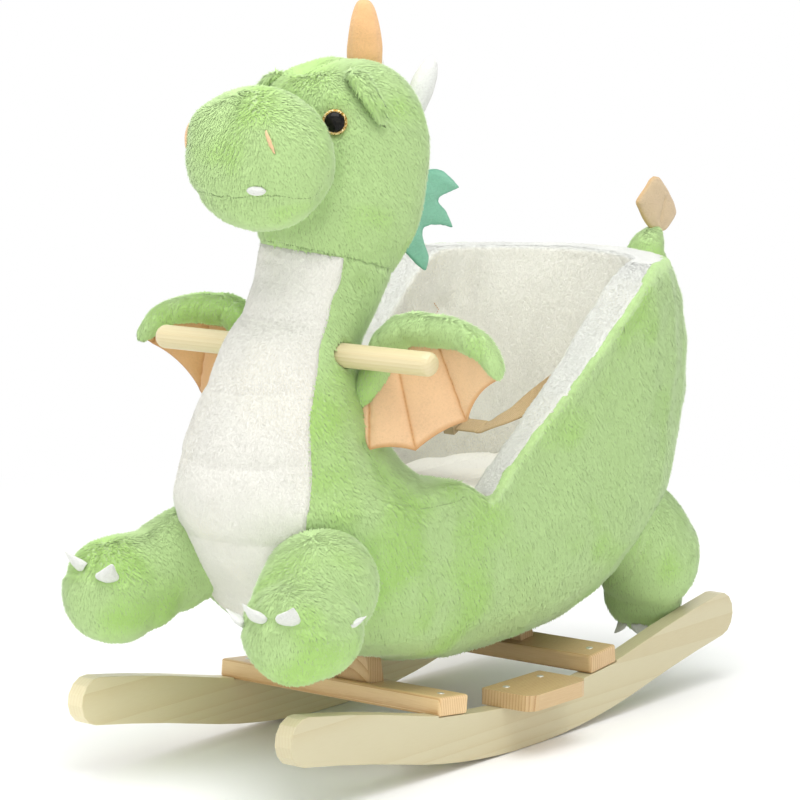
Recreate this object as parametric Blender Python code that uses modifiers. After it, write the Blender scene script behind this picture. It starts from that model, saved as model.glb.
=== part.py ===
"""Plush dragon rocker: a stuffed bucket seat on two curved wooden runners.

Metres, +Z up. The dragon faces -Y and its left side is +X. The origin lies on the
floor under the middle of the runners.
"""

import math

import bmesh
import bpy
from mathutils import Matrix, Vector

MM = 0.001

# Wooden base
BASE_WIDTH = 260 * MM           # over the outer faces of the two runners
RUNNER_LENGTH = 700 * MM       # nose to nose
RUNNER_THICKNESS = 18 * MM
RUNNER_DEPTH = 44 * MM
RUNNER_RADIUS = 850 * MM        # underside of the rocking part
RUNNER_FLAT = 48 * MM           # length of the flat that the runner rests on
RUNNER_ROCK_ANGLE = 12.9        # degrees, where the curve turns over to the tips
RUNNER_TIP_RADIUS = 1900 * MM
RUNNER_EDGE = 3 * MM
BAR_WIDTH = 43 * MM
BAR_THICKNESS = 18 * MM
BAR_REACH = 120 * MM            # bar centres in front of and behind the middle
BAR_TILT = 6.0                  # degrees, follows the runner
BAR_SEAT_HEIGHT = 52.3 * MM
BAR_EDGE = 2.5 * MM
FOOTREST_WIDTH = 58 * MM
FOOTREST_LENGTH = 92 * MM
FOOTREST_THICKNESS = 15 * MM
FOOTREST_SEAT_HEIGHT = 45.3 * MM
FOOTREST_OVERHANG = 34 * MM     # past the outer face of the runner
FOOTREST_CORNER = 12 * MM

# Wooden skeleton inside the plush
POST_WIDTH = 84 * MM
POST_THICKNESS = 20 * MM
POST_TOP_WIDTH = 46 * MM
POST_SHOULDER_HEIGHT = 285 * MM
RISER_LEAN = 12.3               # degrees, both planks lean forward alike
SEAT_LEVEL = 190 * MM           # top of the lower body, under the seat board
SEAT_BOARD_THICKNESS = 12 * MM
SEAT_BOARD_WIDTH = 176 * MM
SEAT_BOARD_CORNER = 34 * MM
CLEAT_SIZE = 20 * MM
BACK_BOARD_WIDTH = 130 * MM
BACK_BOARD_HEIGHT = 200 * MM
BACK_BOARD_THICKNESS = 9 * MM
BACK_BOARD_INSET = 20 * MM      # stuffing between the lining and the board

# Handle
HANDLE_LENGTH = 320 * MM
HANDLE_DIAMETER = 22 * MM
HANDLE_DOME = 8 * MM
HANDLE_Y = -188 * MM
HANDLE_Z = 382 * MM
HANDLE_BLOCK_DEPTH = 42 * MM
HANDLE_BLOCK_HEIGHT = 58 * MM

# Fits
GAP = 0.3 * MM                  # between pieces that touch
SLOT_GAP = 0.4 * MM             # round a plank in the stuffing

# Bucket seat
SEAT_FRONT = -135 * MM          # where the side walls spring from the chest
WELL_HALF_WIDTH = 112 * MM
WELL_FRONT_HALF_WIDTH = 104 * MM
WELL_FRONT = -92 * MM
WELL_FRONT_DEPTH = 30 * MM      # of its rounded front end
WELL_BACK = 215 * MM            # at the seat level
WELL_BACK_DEPTH = 95 * MM       # of its rounded back
WELL_BACK_LEAN = 9.7            # degrees
RIM_TOP = 437 * MM
RIM_V_Y = -60 * MM              # lowest point of the side walls
RIM_V_Z = 242 * MM
RIM_SLOPE = 0.87
RIM_BEND = 26 * MM
SHOULDER_Y = -92 * MM
SHOULDER_Z = 262 * MM
LINING = 8 * MM
RIM_LINING = 4 * MM
CUSHION_HEIGHT = 36 * MM
CUSHION_CLEARANCE = 1 * MM

# Head and trim
SEAM_Y = -140 * MM              # neck seam on the centre line
SEAM_Z = 459 * MM
SEAM_TILT = -9.0                # degrees, higher at the throat
BELLY_THICKNESS = 2.5 * MM
BELLY_REAR = -175 * MM          # the panel ends in front of this
MUZZLE_RADII = (70 * MM, 56 * MM, 63.5 * MM)
MUZZLE_CENTRE = (0.0, -231 * MM, 556 * MM)
EYE_DIAMETER = 20 * MM
EYE_DEPTH = 13 * MM
EYE_CENTRE = (40 * MM, -177 * MM, 587 * MM)
EYE_TURN = 34.0                 # degrees outwards
CROWN_DIAMETER = 31 * MM
CROWN_HEIGHT = 50 * MM
CROWN_BASE = (0.0, -84 * MM, 636 * MM)
CLAW_LENGTH = 27 * MM
CLAW_DIAMETER = 13 * MM
FELT = 4 * MM
WING_FELT = 6 * MM
WING_Y = -152 * MM              # wing plane at its reference height
WING_Z = 400 * MM
WING_LEAN = 18.2                # degrees, lower edge forward
TAIL_TIP_THICKNESS = 9 * MM

# Lap belt
BELT_WIDTH = 20 * MM
BELT_THICKNESS = 1.6 * MM
BELT_TILT = 25.0                # degrees, the lap stretch from flat
BELT_LAP = (0.0, 8 * MM, 298 * MM)
BUCKLE_WIDTH = 27 * MM
BUCKLE_WALL = 2 * MM
SOCKET_LENGTH = 34 * MM
SOCKET_DEPTH = 24 * MM          # of the hollow that takes the prongs
PRONG_THICKNESS = 3.4 * MM
PRONG_LENGTH = 20 * MM
PRONG_WIDTH = 5 * MM
TONGUE_LENGTH = 24 * MM         # outside the socket
BELT_DROP = 4.5 * MM            # left strap's middle below the prongs' middle
STRAP_END = 22 * MM             # left strap's end from the buckle's middle

SMOOTH_ANGLE = math.radians(35)
FAR = 700 * MM                  # beyond the whole model, for cutters
SIDE_VIEW = Matrix.Rotation(math.pi / 2, 4, "Z") @ Matrix.Rotation(math.pi / 2, 4, "X")

COLOURS = {
    "pale_wood": ((0.78, 0.67, 0.42), 0.45),
    "warm_wood": ((0.70, 0.48, 0.26), 0.45),
    "green_plush": ((0.42, 0.66, 0.25), 0.95),
    "cream_plush": ((0.90, 0.89, 0.83), 0.95),
    "peach_felt": ((0.90, 0.55, 0.33), 0.9),
    "teal_felt": ((0.25, 0.60, 0.43), 0.9),
    "white_felt": ((0.90, 0.90, 0.88), 0.9),
    "eye_plastic": ((0.02, 0.02, 0.02), 0.15),
    "belt_web": ((0.60, 0.44, 0.24), 0.8),
    "buckle_plastic": ((0.62, 0.50, 0.33), 0.4),
}


def clear_scene():
    for item in list(bpy.data.objects):
        bpy.data.objects.remove(item, do_unlink=True)


def new_collection(name):
    collection = bpy.data.collections.new(name)
    bpy.context.scene.collection.children.link(collection)
    return collection


def new_material(name, colour, roughness, metallic=0.0):
    material = bpy.data.materials.new(name)
    material.use_nodes = True
    shader = material.node_tree.nodes["Principled BSDF"]
    shader.inputs["Base Color"].default_value = (*colour, 1.0)
    shader.inputs["Roughness"].default_value = roughness
    shader.inputs["Metallic"].default_value = metallic
    return material


def add_object(name, mesh, finish=None):
    """Put a mesh in the model, or among the cutters where it has no finish."""
    piece = bpy.data.objects.new(name, mesh)
    if finish is None:
        CUTTERS.objects.link(piece)
        piece.hide_render = True
        piece.display_type = "WIRE"
        return piece
    PARTS.objects.link(piece)
    colour, roughness = COLOURS[finish]
    mesh.materials.clear()
    mesh.materials.append(new_material(name, colour, roughness))
    return piece


def finish_mesh(name, bm):
    bmesh.ops.recalc_face_normals(bm, faces=bm.faces)
    if bm.calc_volume(signed=True) < 0:
        bmesh.ops.reverse_faces(bm, faces=bm.faces)
    mesh = bpy.data.meshes.new(name)
    bm.to_mesh(mesh)
    bm.free()
    mesh.shade_smooth()
    mesh.set_sharp_from_angle(angle=SMOOTH_ANGLE)
    return mesh


def combine(piece, other, operation):
    modifier = piece.modifiers.new(f"{operation.lower()} {other.name}", "BOOLEAN")
    modifier.operation = operation
    modifier.solver = "EXACT"
    modifier.object = other
    return piece


def cut(piece, *others):
    for other in others:
        combine(piece, other, "DIFFERENCE")
    return piece


def bevel(piece, width, segments=2):
    modifier = piece.modifiers.new("rounded edges", "BEVEL")
    modifier.width = width
    modifier.segments = segments
    modifier.limit_method = "ANGLE"
    modifier.angle_limit = math.radians(50)
    return piece


def box_mesh(name, size, centre, turn=Matrix.Identity(4)):
    bm = bmesh.new()
    bmesh.ops.create_cube(bm, size=1.0)
    bmesh.ops.scale(bm, vec=size, verts=bm.verts)
    bmesh.ops.transform(bm, matrix=Matrix.Translation(centre) @ turn, verts=bm.verts)
    return finish_mesh(name, bm)


def box(name, size, centre, finish=None, turn=Matrix.Identity(4)):
    return add_object(name, box_mesh(name, size, centre, turn), finish)


def plate(name, outline, thickness, placing, finish=None):
    """Extrude a flat outline to a plate centred on its own plane, then place it."""
    curve = bpy.data.curves.new(name, "CURVE")
    curve.dimensions = "2D"
    curve.fill_mode = "BOTH"
    curve.extrude = thickness / 2
    spline = curve.splines.new("POLY")
    spline.points.add(len(outline) - 1)
    for point, (x, y) in zip(spline.points, outline):
        point.co = (x, y, 0.0, 1.0)
    spline.use_cyclic_u = True
    return curve_to_piece(name, curve, placing, finish)


def curve_to_piece(name, curve, placing, finish):
    """Turn a curve into a closed mesh whose place is in its vertices."""
    holder = bpy.data.objects.new(name + " curve", curve)
    bpy.context.scene.collection.objects.link(holder)
    bpy.context.view_layer.update()
    graph = bpy.context.evaluated_depsgraph_get()
    mesh = bpy.data.meshes.new_from_object(holder.evaluated_get(graph))
    bpy.data.objects.remove(holder, do_unlink=True)
    bpy.data.curves.remove(curve)
    bm = bmesh.new()
    bm.from_mesh(mesh)
    bpy.data.meshes.remove(mesh)
    bmesh.ops.remove_doubles(bm, verts=bm.verts, dist=0.00001)
    bmesh.ops.transform(bm, matrix=placing, verts=bm.verts)
    return add_object(name, finish_mesh(name, bm), finish)


def catmull_rom(values, position):
    """Smooth value at a position along a list of numbers or vectors."""
    last = len(values) - 1
    index = min(int(position), last - 1)
    t = position - index
    p0 = values[max(index - 1, 0)]
    p1 = values[index]
    p2 = values[index + 1]
    p3 = values[min(index + 2, last)]
    return 0.5 * (2 * p1 + (p2 - p0) * t + (2 * p0 - 5 * p1 + 4 * p2 - p3) * t ** 2
                  + (3 * p1 - p0 - 3 * p2 + p3) * t ** 3)


def loft_rings(name, rings):
    """Skin a list of rings of equal count and close both ends with a fan."""
    bm = bmesh.new()
    levels = [[bm.verts.new(point) for point in ring] for ring in rings]
    count = len(levels[0])
    for lower, upper in zip(levels, levels[1:]):
        for i in range(count):
            j = (i + 1) % count
            bm.faces.new((lower[i], lower[j], upper[j]))
            bm.faces.new((lower[i], upper[j], upper[i]))
    for level in (levels[0], levels[-1]):
        centre = sum((vert.co for vert in level), Vector()) / count
        pole = bm.verts.new(centre)
        for i in range(count):
            bm.faces.new((level[i], level[(i + 1) % count], pole))
    return finish_mesh(name, bm)


def level_ring(section, z, arc_points, flank_points, grow):
    """Level section: round front and rear ends, and flanks that widen to the rear."""
    front_half, rear_half, front, front_centre, rear_centre, rear = section
    left = []
    for k in range(arc_points):
        angle = math.pi / 2 * (k + 0.5) / arc_points
        left.append(((front_half + grow) * math.sin(angle),
                     front_centre - (front_centre - front + grow) * math.cos(angle)))
    for k in range(flank_points + 1):
        share = k / flank_points if flank_points else 0.5
        half = front_half + (rear_half - front_half) * math.sin(math.pi / 2 * share)
        left.append((half + grow, front_centre + (rear_centre - front_centre) * share))
    for k in range(arc_points):
        angle = math.pi / 2 * (k + 0.5) / arc_points
        left.append(((rear_half + grow) * math.cos(angle),
                     rear_centre + (rear - rear_centre + grow) * math.sin(angle)))
    right = [(-x, y) for x, y in reversed(left)]
    return [Vector((x, y, z)) for x, y in left + right]


def level_loft(name, form, grow=0.0, finish=None):
    """Loft level sections. A station is a height, the half-widths of the front and rear
    ends, the front, the centres of both ends and the rear, all in millimetres."""
    stations, steps, arc_points, flank_points = form
    columns = list(zip(*stations))
    last = len(stations) - 1
    rings = []
    for k in range(last * steps + 1):
        position = k / steps
        z, *section = (catmull_rom(column, position) * MM for column in columns)
        z += grow * ((position == last) - (position == 0))
        rings.append(level_ring(section, z, arc_points, flank_points, grow))
    return add_object(name, loft_rings(name, rings), finish)


def limb_loft(name, points, radii, steps, sides, grow=0.0, finish=None):
    """Loft round sections square to a spine, each turned as little as possible from the
    one before. The ends are domed by their radii."""
    spine = [Vector(point) * MM for point in points]
    last = len(spine) - 1
    side = Vector((1, 0, 0))
    rings = []
    for k in range(last * steps + 1):
        position = k / steps
        ahead = catmull_rom(spine, min(position + 0.05, last))
        behind = catmull_rom(spine, max(position - 0.05, 0))
        along = (ahead - behind).normalized()
        side = (side - along * side.dot(along)).normalized()
        up = along.cross(side)
        radius = catmull_rom(radii, position) * MM + grow
        centre = catmull_rom(spine, position) + along * grow * (2 * position / last - 1)
        rings.append([centre + (side * math.cos(2 * math.pi * i / sides)
                                + up * math.sin(2 * math.pi * i / sides)) * radius
                      for i in range(sides)])
    return add_object(name, loft_rings(name, rings), finish)


def ball(name, centre, radii, sides, rows, grow=0.0, finish=None, turn=Matrix.Identity(4)):
    bm = bmesh.new()
    bmesh.ops.create_uvsphere(bm, u_segments=sides, v_segments=rows, radius=1.0)
    bmesh.ops.scale(bm, vec=[radius + grow for radius in radii], verts=bm.verts)
    bmesh.ops.transform(bm, matrix=Matrix.Translation(centre) @ turn, verts=bm.verts)
    return add_object(name, finish_mesh(name, bm), finish)


def turned(name, profile, steps, placing, finish=None):
    """Turn a closed profile of (radius, height) about its axis with Screw."""
    bm = bmesh.new()
    verts = [bm.verts.new((radius, 0.0, height)) for radius, height in profile]
    for first, second in zip(verts, verts[1:]):
        bm.edges.new((first, second))
    mesh = bpy.data.meshes.new(name)
    bm.to_mesh(mesh)
    bm.free()
    piece = add_object(name, mesh, finish)
    piece.matrix_world = placing
    screw = piece.modifiers.new("turned", "SCREW")
    screw.angle = 2 * math.pi
    screw.steps = steps
    screw.render_steps = steps
    screw.use_merge_vertices = True
    screw.merge_threshold = 0.00005
    screw.use_smooth_shade = True
    return piece


# Outline of a runner, in its own plane: along the runner, then up.

def runner_outline():
    rock = math.radians(RUNNER_ROCK_ANGLE)
    flat = RUNNER_FLAT / 2
    start = math.asin(flat / RUNNER_RADIUS)
    steps = 6
    bottom = [(RUNNER_RADIUS * math.sin(start + (rock - start) * k / steps),
               RUNNER_RADIUS * (math.cos(start) - math.cos(start + (rock - start) * k / steps)),
               start + (rock - start) * k / steps) for k in range(steps + 1)]
    x0, z0, _ = bottom[-1]
    half = RUNNER_DEPTH / 2
    nose_angle = rock - (RUNNER_LENGTH / 2 - half - x0) / RUNNER_TIP_RADIUS
    end = RUNNER_LENGTH / 2 - half * (1 - math.sin(nose_angle))
    tip_steps = 3
    for k in range(1, tip_steps + 1):
        along = (end - x0) * k / tip_steps
        angle = rock - along / RUNNER_TIP_RADIUS
        z = z0 + RUNNER_TIP_RADIUS * (math.cos(angle) - math.cos(rock))
        bottom.append((x0 + along, z, angle))
    nose_x, nose_z, nose_angle = bottom[-1]
    centre = (nose_x - half * math.sin(nose_angle), nose_z + half * math.cos(nose_angle))
    nose = []
    for k in range(1, 7):
        angle = nose_angle - math.pi / 2 + math.pi * k / 7
        nose.append((centre[0] + half * math.cos(angle), centre[1] + half * math.sin(angle)))
    top = [(x - RUNNER_DEPTH * math.sin(angle), z + RUNNER_DEPTH * math.cos(angle))
           for x, z, angle in reversed(bottom)]
    right = [(x, z) for x, z, _ in bottom] + nose + top
    left = [(-x, z) for x, z in reversed(right)]
    return right + left


def bar_turn(side):
    return Matrix.Rotation(math.radians(BAR_TILT) * side, 4, "X")


def bar_place(side, lift):
    """Point above the seat of the front (-1) or rear (+1) bar, square to the bar."""
    seat = Vector((0, side * BAR_REACH, BAR_SEAT_HEIGHT))
    return seat + bar_turn(side).to_3x3() @ Vector((0, 0, lift))


def make_base():
    bar_seats = [box(f"bar seat {side}", (BASE_WIDTH * 2, BAR_WIDTH + 2 * GAP, RUNNER_DEPTH),
                     bar_place(side, RUNNER_DEPTH / 2 - GAP), turn=bar_turn(side))
                 for side in (-1, 1)]
    rest_height = FOOTREST_SEAT_HEIGHT - GAP
    rest_seat = box("footrest seat", (BASE_WIDTH * 2, FOOTREST_LENGTH + 2 * GAP, RUNNER_DEPTH),
                    (0, 0, rest_height + RUNNER_DEPTH / 2))
    for name, side in (("left_runner", 1), ("right_runner", -1)):
        across = side * (BASE_WIDTH - RUNNER_THICKNESS) / 2
        runner = plate(name, runner_outline(), RUNNER_THICKNESS,
                       Matrix.Translation((across, 0, 0)) @ SIDE_VIEW, "pale_wood")
        bevel(runner, RUNNER_EDGE)
        cut(runner, rest_seat, *bar_seats)
    for name, side in (("front_cross_bar", -1), ("rear_cross_bar", 1)):
        bar = box(name, (BASE_WIDTH, BAR_WIDTH, BAR_THICKNESS),
                  bar_place(side, BAR_THICKNESS / 2), "warm_wood", bar_turn(side))
        bevel(bar, BAR_EDGE)
    for name, side in (("left_footrest", 1), ("right_footrest", -1)):
        outer = BASE_WIDTH / 2 + FOOTREST_OVERHANG
        block = plate(name, footrest_outline(), FOOTREST_THICKNESS, Matrix.Translation(
            (side * (outer - FOOTREST_WIDTH / 2), 0,
             FOOTREST_SEAT_HEIGHT + FOOTREST_THICKNESS / 2))
            @ Matrix.Rotation(math.pi * (side < 0), 4, "Z"), "warm_wood")
        bevel(block, BAR_EDGE)


def rounded_rectangle(width, length, corners):
    """Outline with a radius for each corner, from the right rear one round."""
    points = []
    signs = ((1, 1), (-1, 1), (-1, -1), (1, -1))
    for index, ((sx, sy), radius) in enumerate(zip(signs, corners)):
        for k in range(5):
            angle = math.pi / 2 * (index + k / 4)
            points.append((sx * (width / 2 - radius) + radius * math.cos(angle),
                           sy * (length / 2 - radius) + radius * math.sin(angle)))
    return points


def footrest_outline():
    small = BAR_EDGE
    return rounded_rectangle(FOOTREST_WIDTH, FOOTREST_LENGTH,
                             (FOOTREST_CORNER, small, small, FOOTREST_CORNER))


LEAN = Matrix.Rotation(math.radians(RISER_LEAN), 4, "X")
LEAN_SLOPE = math.tan(math.radians(RISER_LEAN))
LEAN_COS = math.cos(math.radians(RISER_LEAN))
BACK_SLOPE = math.tan(math.radians(WELL_BACK_LEAN))
BACK_COS = math.cos(math.radians(WELL_BACK_LEAN))


def post_axis_y(z):
    """Middle of the front plank's thickness at a height."""
    return HANDLE_Y - LEAN_SLOPE * (z - HANDLE_Z)


def riser_axis_y(z):
    return BAR_REACH - LEAN_SLOPE * (z - BAR_SEAT_HEIGHT)


def well_back_y(z):
    """Inner face of the back rest on the centre line."""
    return WELL_BACK + BACK_SLOPE * (z - SEAT_LEVEL)


def back_board_y(z):
    """Front face of the board in the back rest."""
    return well_back_y(z) + BACK_BOARD_INSET / BACK_COS


def post_outline(grow):
    """Front plank: wide at the foot and drawn in above its shoulders."""
    foot = -BAR_THICKNESS
    top = (HANDLE_Z - BAR_SEAT_HEIGHT) / LEAN_COS - HANDLE_BLOCK_HEIGHT / 2 - GAP
    shoulder = (POST_SHOULDER_HEIGHT - BAR_SEAT_HEIGHT) / LEAN_COS
    wide, narrow = POST_WIDTH / 2 + grow, POST_TOP_WIDTH / 2 + grow
    slant = POST_WIDTH / 2 - POST_TOP_WIDTH / 2
    right = [(wide, foot), (wide, shoulder), (narrow, shoulder + slant), (narrow, top + grow)]
    return right + [(-x, z) for x, z in reversed(right)]


def make_post(name, grow, finish=None):
    base = Vector((0, post_axis_y(BAR_SEAT_HEIGHT), BAR_SEAT_HEIGHT))
    placing = Matrix.Translation(base) @ LEAN @ Matrix.Rotation(math.pi / 2, 4, "X")
    return plate(name, post_outline(grow), POST_THICKNESS + 2 * grow, placing, finish)


def make_handle_block(name, grow, finish=None):
    size = (POST_TOP_WIDTH, HANDLE_BLOCK_DEPTH, HANDLE_BLOCK_HEIGHT)
    return box(name, [length + 2 * grow for length in size], (0, HANDLE_Y, HANDLE_Z), finish,
               LEAN)


def make_rear_riser(name, grow, finish=None):
    height = (SEAT_LEVEL - BAR_SEAT_HEIGHT) / LEAN_COS + 2 * POST_THICKNESS
    middle = (SEAT_LEVEL + BAR_SEAT_HEIGHT) / 2
    return box(name, (POST_WIDTH + 2 * grow, POST_THICKNESS + 2 * grow, height),
               (0, riser_axis_y(middle), middle), finish, LEAN)


def make_cleat(name, grow, finish=None):
    """Batten behind the front plank that the seat board rests on."""
    middle = SEAT_LEVEL - CLEAT_SIZE / 2
    rear_face = post_axis_y(middle) + POST_THICKNESS / 2 / LEAN_COS
    centre = (0, rear_face + GAP + CLEAT_SIZE / 2 / LEAN_COS, middle)
    return box(name, (POST_WIDTH + 2 * grow, CLEAT_SIZE + 2 * grow, CLEAT_SIZE * 1.5), centre,
               finish, LEAN)


def make_seat_board(name, grow, finish=None):
    front = post_axis_y(SEAT_LEVEL) + POST_THICKNESS / 2 / LEAN_COS + GAP
    rear = back_board_y(SEAT_LEVEL) - GAP
    outline = rounded_rectangle(SEAT_BOARD_WIDTH + 2 * grow, rear - front + 2 * grow,
                                [SEAT_BOARD_CORNER + grow] * 4)
    placing = Matrix.Translation((0, (front + rear) / 2,
                                  SEAT_LEVEL + GAP + SEAT_BOARD_THICKNESS / 2))
    return plate(name, outline, SEAT_BOARD_THICKNESS + 2 * grow, placing, finish)


def make_back_board(name, grow, finish=None, below=0.0):
    foot = SEAT_LEVEL + GAP + BACK_BOARD_THICKNESS * BACK_SLOPE - below
    height = BACK_BOARD_HEIGHT + below
    middle = foot + height / 2 * BACK_COS
    turn = Matrix.Rotation(-math.radians(WELL_BACK_LEAN), 4, "X")
    centre = Vector((0, back_board_y(middle), middle))
    centre += turn.to_3x3() @ Vector((0, BACK_BOARD_THICKNESS / 2, 0))
    return box(name, (BACK_BOARD_WIDTH + 2 * grow, BACK_BOARD_THICKNESS + 2 * grow,
                      height + 2 * grow), centre, finish, turn)


def make_skeleton():
    handle_way = rod("handle way", HANDLE_DIAMETER / 2 + GAP, HANDLE_LENGTH)
    reach = 4 * RUNNER_DEPTH
    under_risers = [box(f"under riser {side}", (BASE_WIDTH * 2, BAR_WIDTH * 3, reach),
                        bar_place(side, BAR_THICKNESS - reach / 2 + GAP), turn=bar_turn(side))
                    for side in (-1, 1)]
    above_seat = box("above the seat board's foot", (BASE_WIDTH, RUNNER_LENGTH, reach),
                     (0, 0, SEAT_LEVEL + reach / 2))
    cut(make_post("neck_post", 0.0, "warm_wood"), under_risers[0])
    cut(make_handle_block("handle_block", 0.0, "warm_wood"), handle_way)
    cut(make_rear_riser("rear_riser", 0.0, "warm_wood"), under_risers[1], above_seat)
    cut(make_cleat("seat_cleat", 0.0, "warm_wood"), above_seat)
    make_seat_board("seat_board", 0.0, "pale_wood")
    make_back_board("back_board", 0.0, "pale_wood")
    turned("handle_bar", handle_outline(), 20,
           Matrix.Translation((0, HANDLE_Y, HANDLE_Z)) @ Matrix.Rotation(math.pi / 2, 4, "Y"),
           "pale_wood")
    return handle_way


def handle_outline():
    """Half section of the dowel with domed ends, from one end to the other."""
    radius = HANDLE_DIAMETER / 2
    half = HANDLE_LENGTH / 2
    dome = []
    for k in range(5):
        angle = math.pi / 2 * k / 4
        dome.append((radius - HANDLE_DOME + HANDLE_DOME * math.sin(angle),
                     half - HANDLE_DOME + HANDLE_DOME * math.cos(angle)))
    upper = [(0.0, half)] + dome
    return upper + [(r, -z) for r, z in reversed(upper)]


def rod(name, radius, length):
    """Round cutter across the body on the handle's axis."""
    bm = bmesh.new()
    turn = Matrix.Rotation(math.pi / 2, 4, "Y")
    bmesh.ops.create_cone(bm, cap_ends=True, segments=20, radius1=radius, radius2=radius,
                          depth=length, matrix=Matrix.Translation((0, HANDLE_Y, HANDLE_Z)) @ turn)
    return add_object(name, finish_mesh(name, bm))


# Stuffed forms: level sections as level_loft takes them.

BODY_STATIONS = (
    (76, 12, 12, 50, 62, 90, 104),
    (79, 44, 44, -20, 24, 108, 148),
    (90, 78, 78, -112, -40, 130, 200),
    (104, 95, 97, -170, -92, 145, 240),
    (124, 107, 112, -207, -122, 150, 275),
    (158, 116, 126, -248, -150, 150, 306),
    (200, 119, 134, -272, -165, 148, 330),
    (232, 119, 138, -288, -168, 148, 342),
    (250, 115, 140, -294, -172, 148, 348),
    (264, 104, 142, -297, -178, 148, 352),
    (300, 87, 147, -290, -200, 148, 357),
    (350, 76, 152, -270, -200, 150, 352),
    (400, 64, 155, -240, -185, 150, 329),
    (424, 60, 155, -220, -160, 150, 305),
    (442, 58, 148, -205, -142, 150, 288),
)

NECK_STATIONS = (
    (150, 116, 116, -243, -150, -135, -60),
    (200, 119, 119, -272, -165, -135, -54),
    (232, 119, 119, -288, -168, -135, -56),
    (250, 115, 115, -294, -172, -140, -66),
    (264, 104, 104, -297, -178, -150, -84),
    (280, 94, 94, -296, -190, -172, -102),
    (300, 87, 87, -290, -200, -190, -112),
    (330, 76, 76, -277, -200, -195, -124),
    (360, 66, 66, -260, -195, -190, -128),
    (388, 59, 59, -245, -188, -184, -125),
    (416, 57, 57, -223, -164, -160, -101),
    (445, 57, 57, -206, -142, -138, -79),
    (475, 60, 60, -198, -132, -124, -62),
    (510, 60, 60, -190, -120, -112, -46),
)

HEAD_STATIONS = (
    (460, 56, 56, -198, -134, -124, -66),
    (478, 64, 64, -203, -130, -118, -51),
    (505, 70, 70, -206, -126, -112, -43),
    (540, 74, 74, -204, -122, -108, -37),
    (575, 75, 75, -198, -120, -108, -38),
    (605, 68, 68, -188, -118, -110, -50),
    (628, 50, 50, -172, -116, -112, -68),
    (640, 26, 26, -146, -116, -114, -92),
    (643, 8, 8, -124, -116, -114, -108),
)

BODY_FORM = (BODY_STATIONS, 1, 7, 4)
NECK_FORM = (NECK_STATIONS, 1, 7, 0)
CHEST_FORM = (BODY_STATIONS[:7] + NECK_STATIONS[2:], 1, 7, 4)
HEAD_FORM = (HEAD_STATIONS, 2, 6, 0)


# Limbs of the left side: points of the spine and the radius at each.

FRONT_LEG = ((48, -184, 216, 40), (63, -217, 205, 45), (78, -248, 193, 45),
             (92, -280, 177, 46), (104, -308, 163, 49), (112, -328, 153, 46),
             (118, -344, 145, 33), (121, -351, 141, 10))
FOOT_CENTRE = Vector((104, -308, 161)) * MM
FOOT_RADIUS = 48 * MM
RIGHT_FOOT_LIFT = 13 * MM
FRONT_CLAWS = ((-52, 12), (-12, 22), (33, 19), (108, 2))
REAR_LEG = ((66, 205, 196, 42), (77, 245, 164, 53), (81, 263, 132, 53), (80, 254, 108, 41),
            (77, 226, 93, 29), (75, 204, 84, 20), (74, 194, 80, 6))
REAR_TOE = Vector((77, 212, 92)) * MM
REAR_TOE_RADIUS = 26 * MM
REAR_CLAWS = ((-40, -30), (25, -30))
TAIL = ((0, 326, 350, 17), (0, 362, 378, 18), (0, 381, 416, 17), (0, 386, 440, 12),
        (0, 387, 456, 7))
TAIL_TIP = ((387, 446), (362, 478), (372, 490), (395, 502), (440, 482), (436, 470), (398, 446))
HORN = ((27, -52, 580, 10), (28, -45, 597, 9.5), (30, -36, 614, 7.5), (31, -27, 628, 4.5),
        (31, -23, 634, 1.5))

# Wing arm in the wing's plane: across, up from the reference height, and its radius.
# The scalloped lower edge of the membrane sweeps out of that plane.

WING_ARM = ((48, -78, 9), (60, -67, 12), (72, -48, 14.5), (79, -26, 15), (87, -5, 16),
            (106, 5, 15), (130, 6, 14), (160, 4, 12.5), (187, -6, 11), (204, -21, 8),
            (211, -31, 2.5))
WING_EDGE = ((64, -176, 325), (87, -187, 300), (104, -177, 303), (122, -166, 300),
             (139, -150, 313), (156, -136, 326), (183, -143, 347), (201, -152, 368),
             (209, -158, 374))

# Fin on the back of the neck, seen from the side.

FIN_SPIKES = (((-30, 512), (6, 531), (34, 529), (60, 511)),
              ((60, 511), (40, 507), (24, 502), (38, 491), (50, 473)),
              ((50, 473), (28, 478), (2, 477), (5, 462), (12, 449), (7, 436)),
              ((7, 436), (-6, 443), (-22, 455), (-46, 470)))


def well_form():
    """The hollow of the bucket seat, from below the seat board to above the rim."""
    rows = []
    for z, narrower in ((150, 14), (190, 12), (235, 6), (285, 2), (330, 0), (400, 0), (470, 0)):
        rear = well_back_y(z * MM) / MM
        front = WELL_FRONT / MM
        rows.append((z, WELL_FRONT_HALF_WIDTH / MM - narrower, WELL_HALF_WIDTH / MM - narrower,
                     front, front + WELL_FRONT_DEPTH / MM, rear - WELL_BACK_DEPTH / MM, rear))
    return (rows, 1, 6, 3)


def rim_line(drop):
    """Side view of the rim from the chest to the back. The drop lowers the padded part."""
    slope_end = RIM_V_Y + (RIM_TOP - RIM_V_Z) / RIM_SLOPE
    line = [(-FAR, SHOULDER_Z), (SHOULDER_Y, SHOULDER_Z), (RIM_V_Y, RIM_V_Z)]
    if drop:
        line.append((RIM_V_Y, RIM_V_Z - drop))
    for k in range(5):
        t = k / 4
        line.append((slope_end + RIM_BEND * (2 * t - 1),
                     RIM_TOP - RIM_SLOPE * RIM_BEND * (1 - t) ** 2 - drop))
    return line + [(FAR, RIM_TOP - drop)]


def rim_cutter(name, drop, limit):
    """Everything between the rim line and a height far above or below it."""
    return plate(name, rim_line(drop) + [(FAR, limit), (-FAR, limit)], FAR, SIDE_VIEW)


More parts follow.
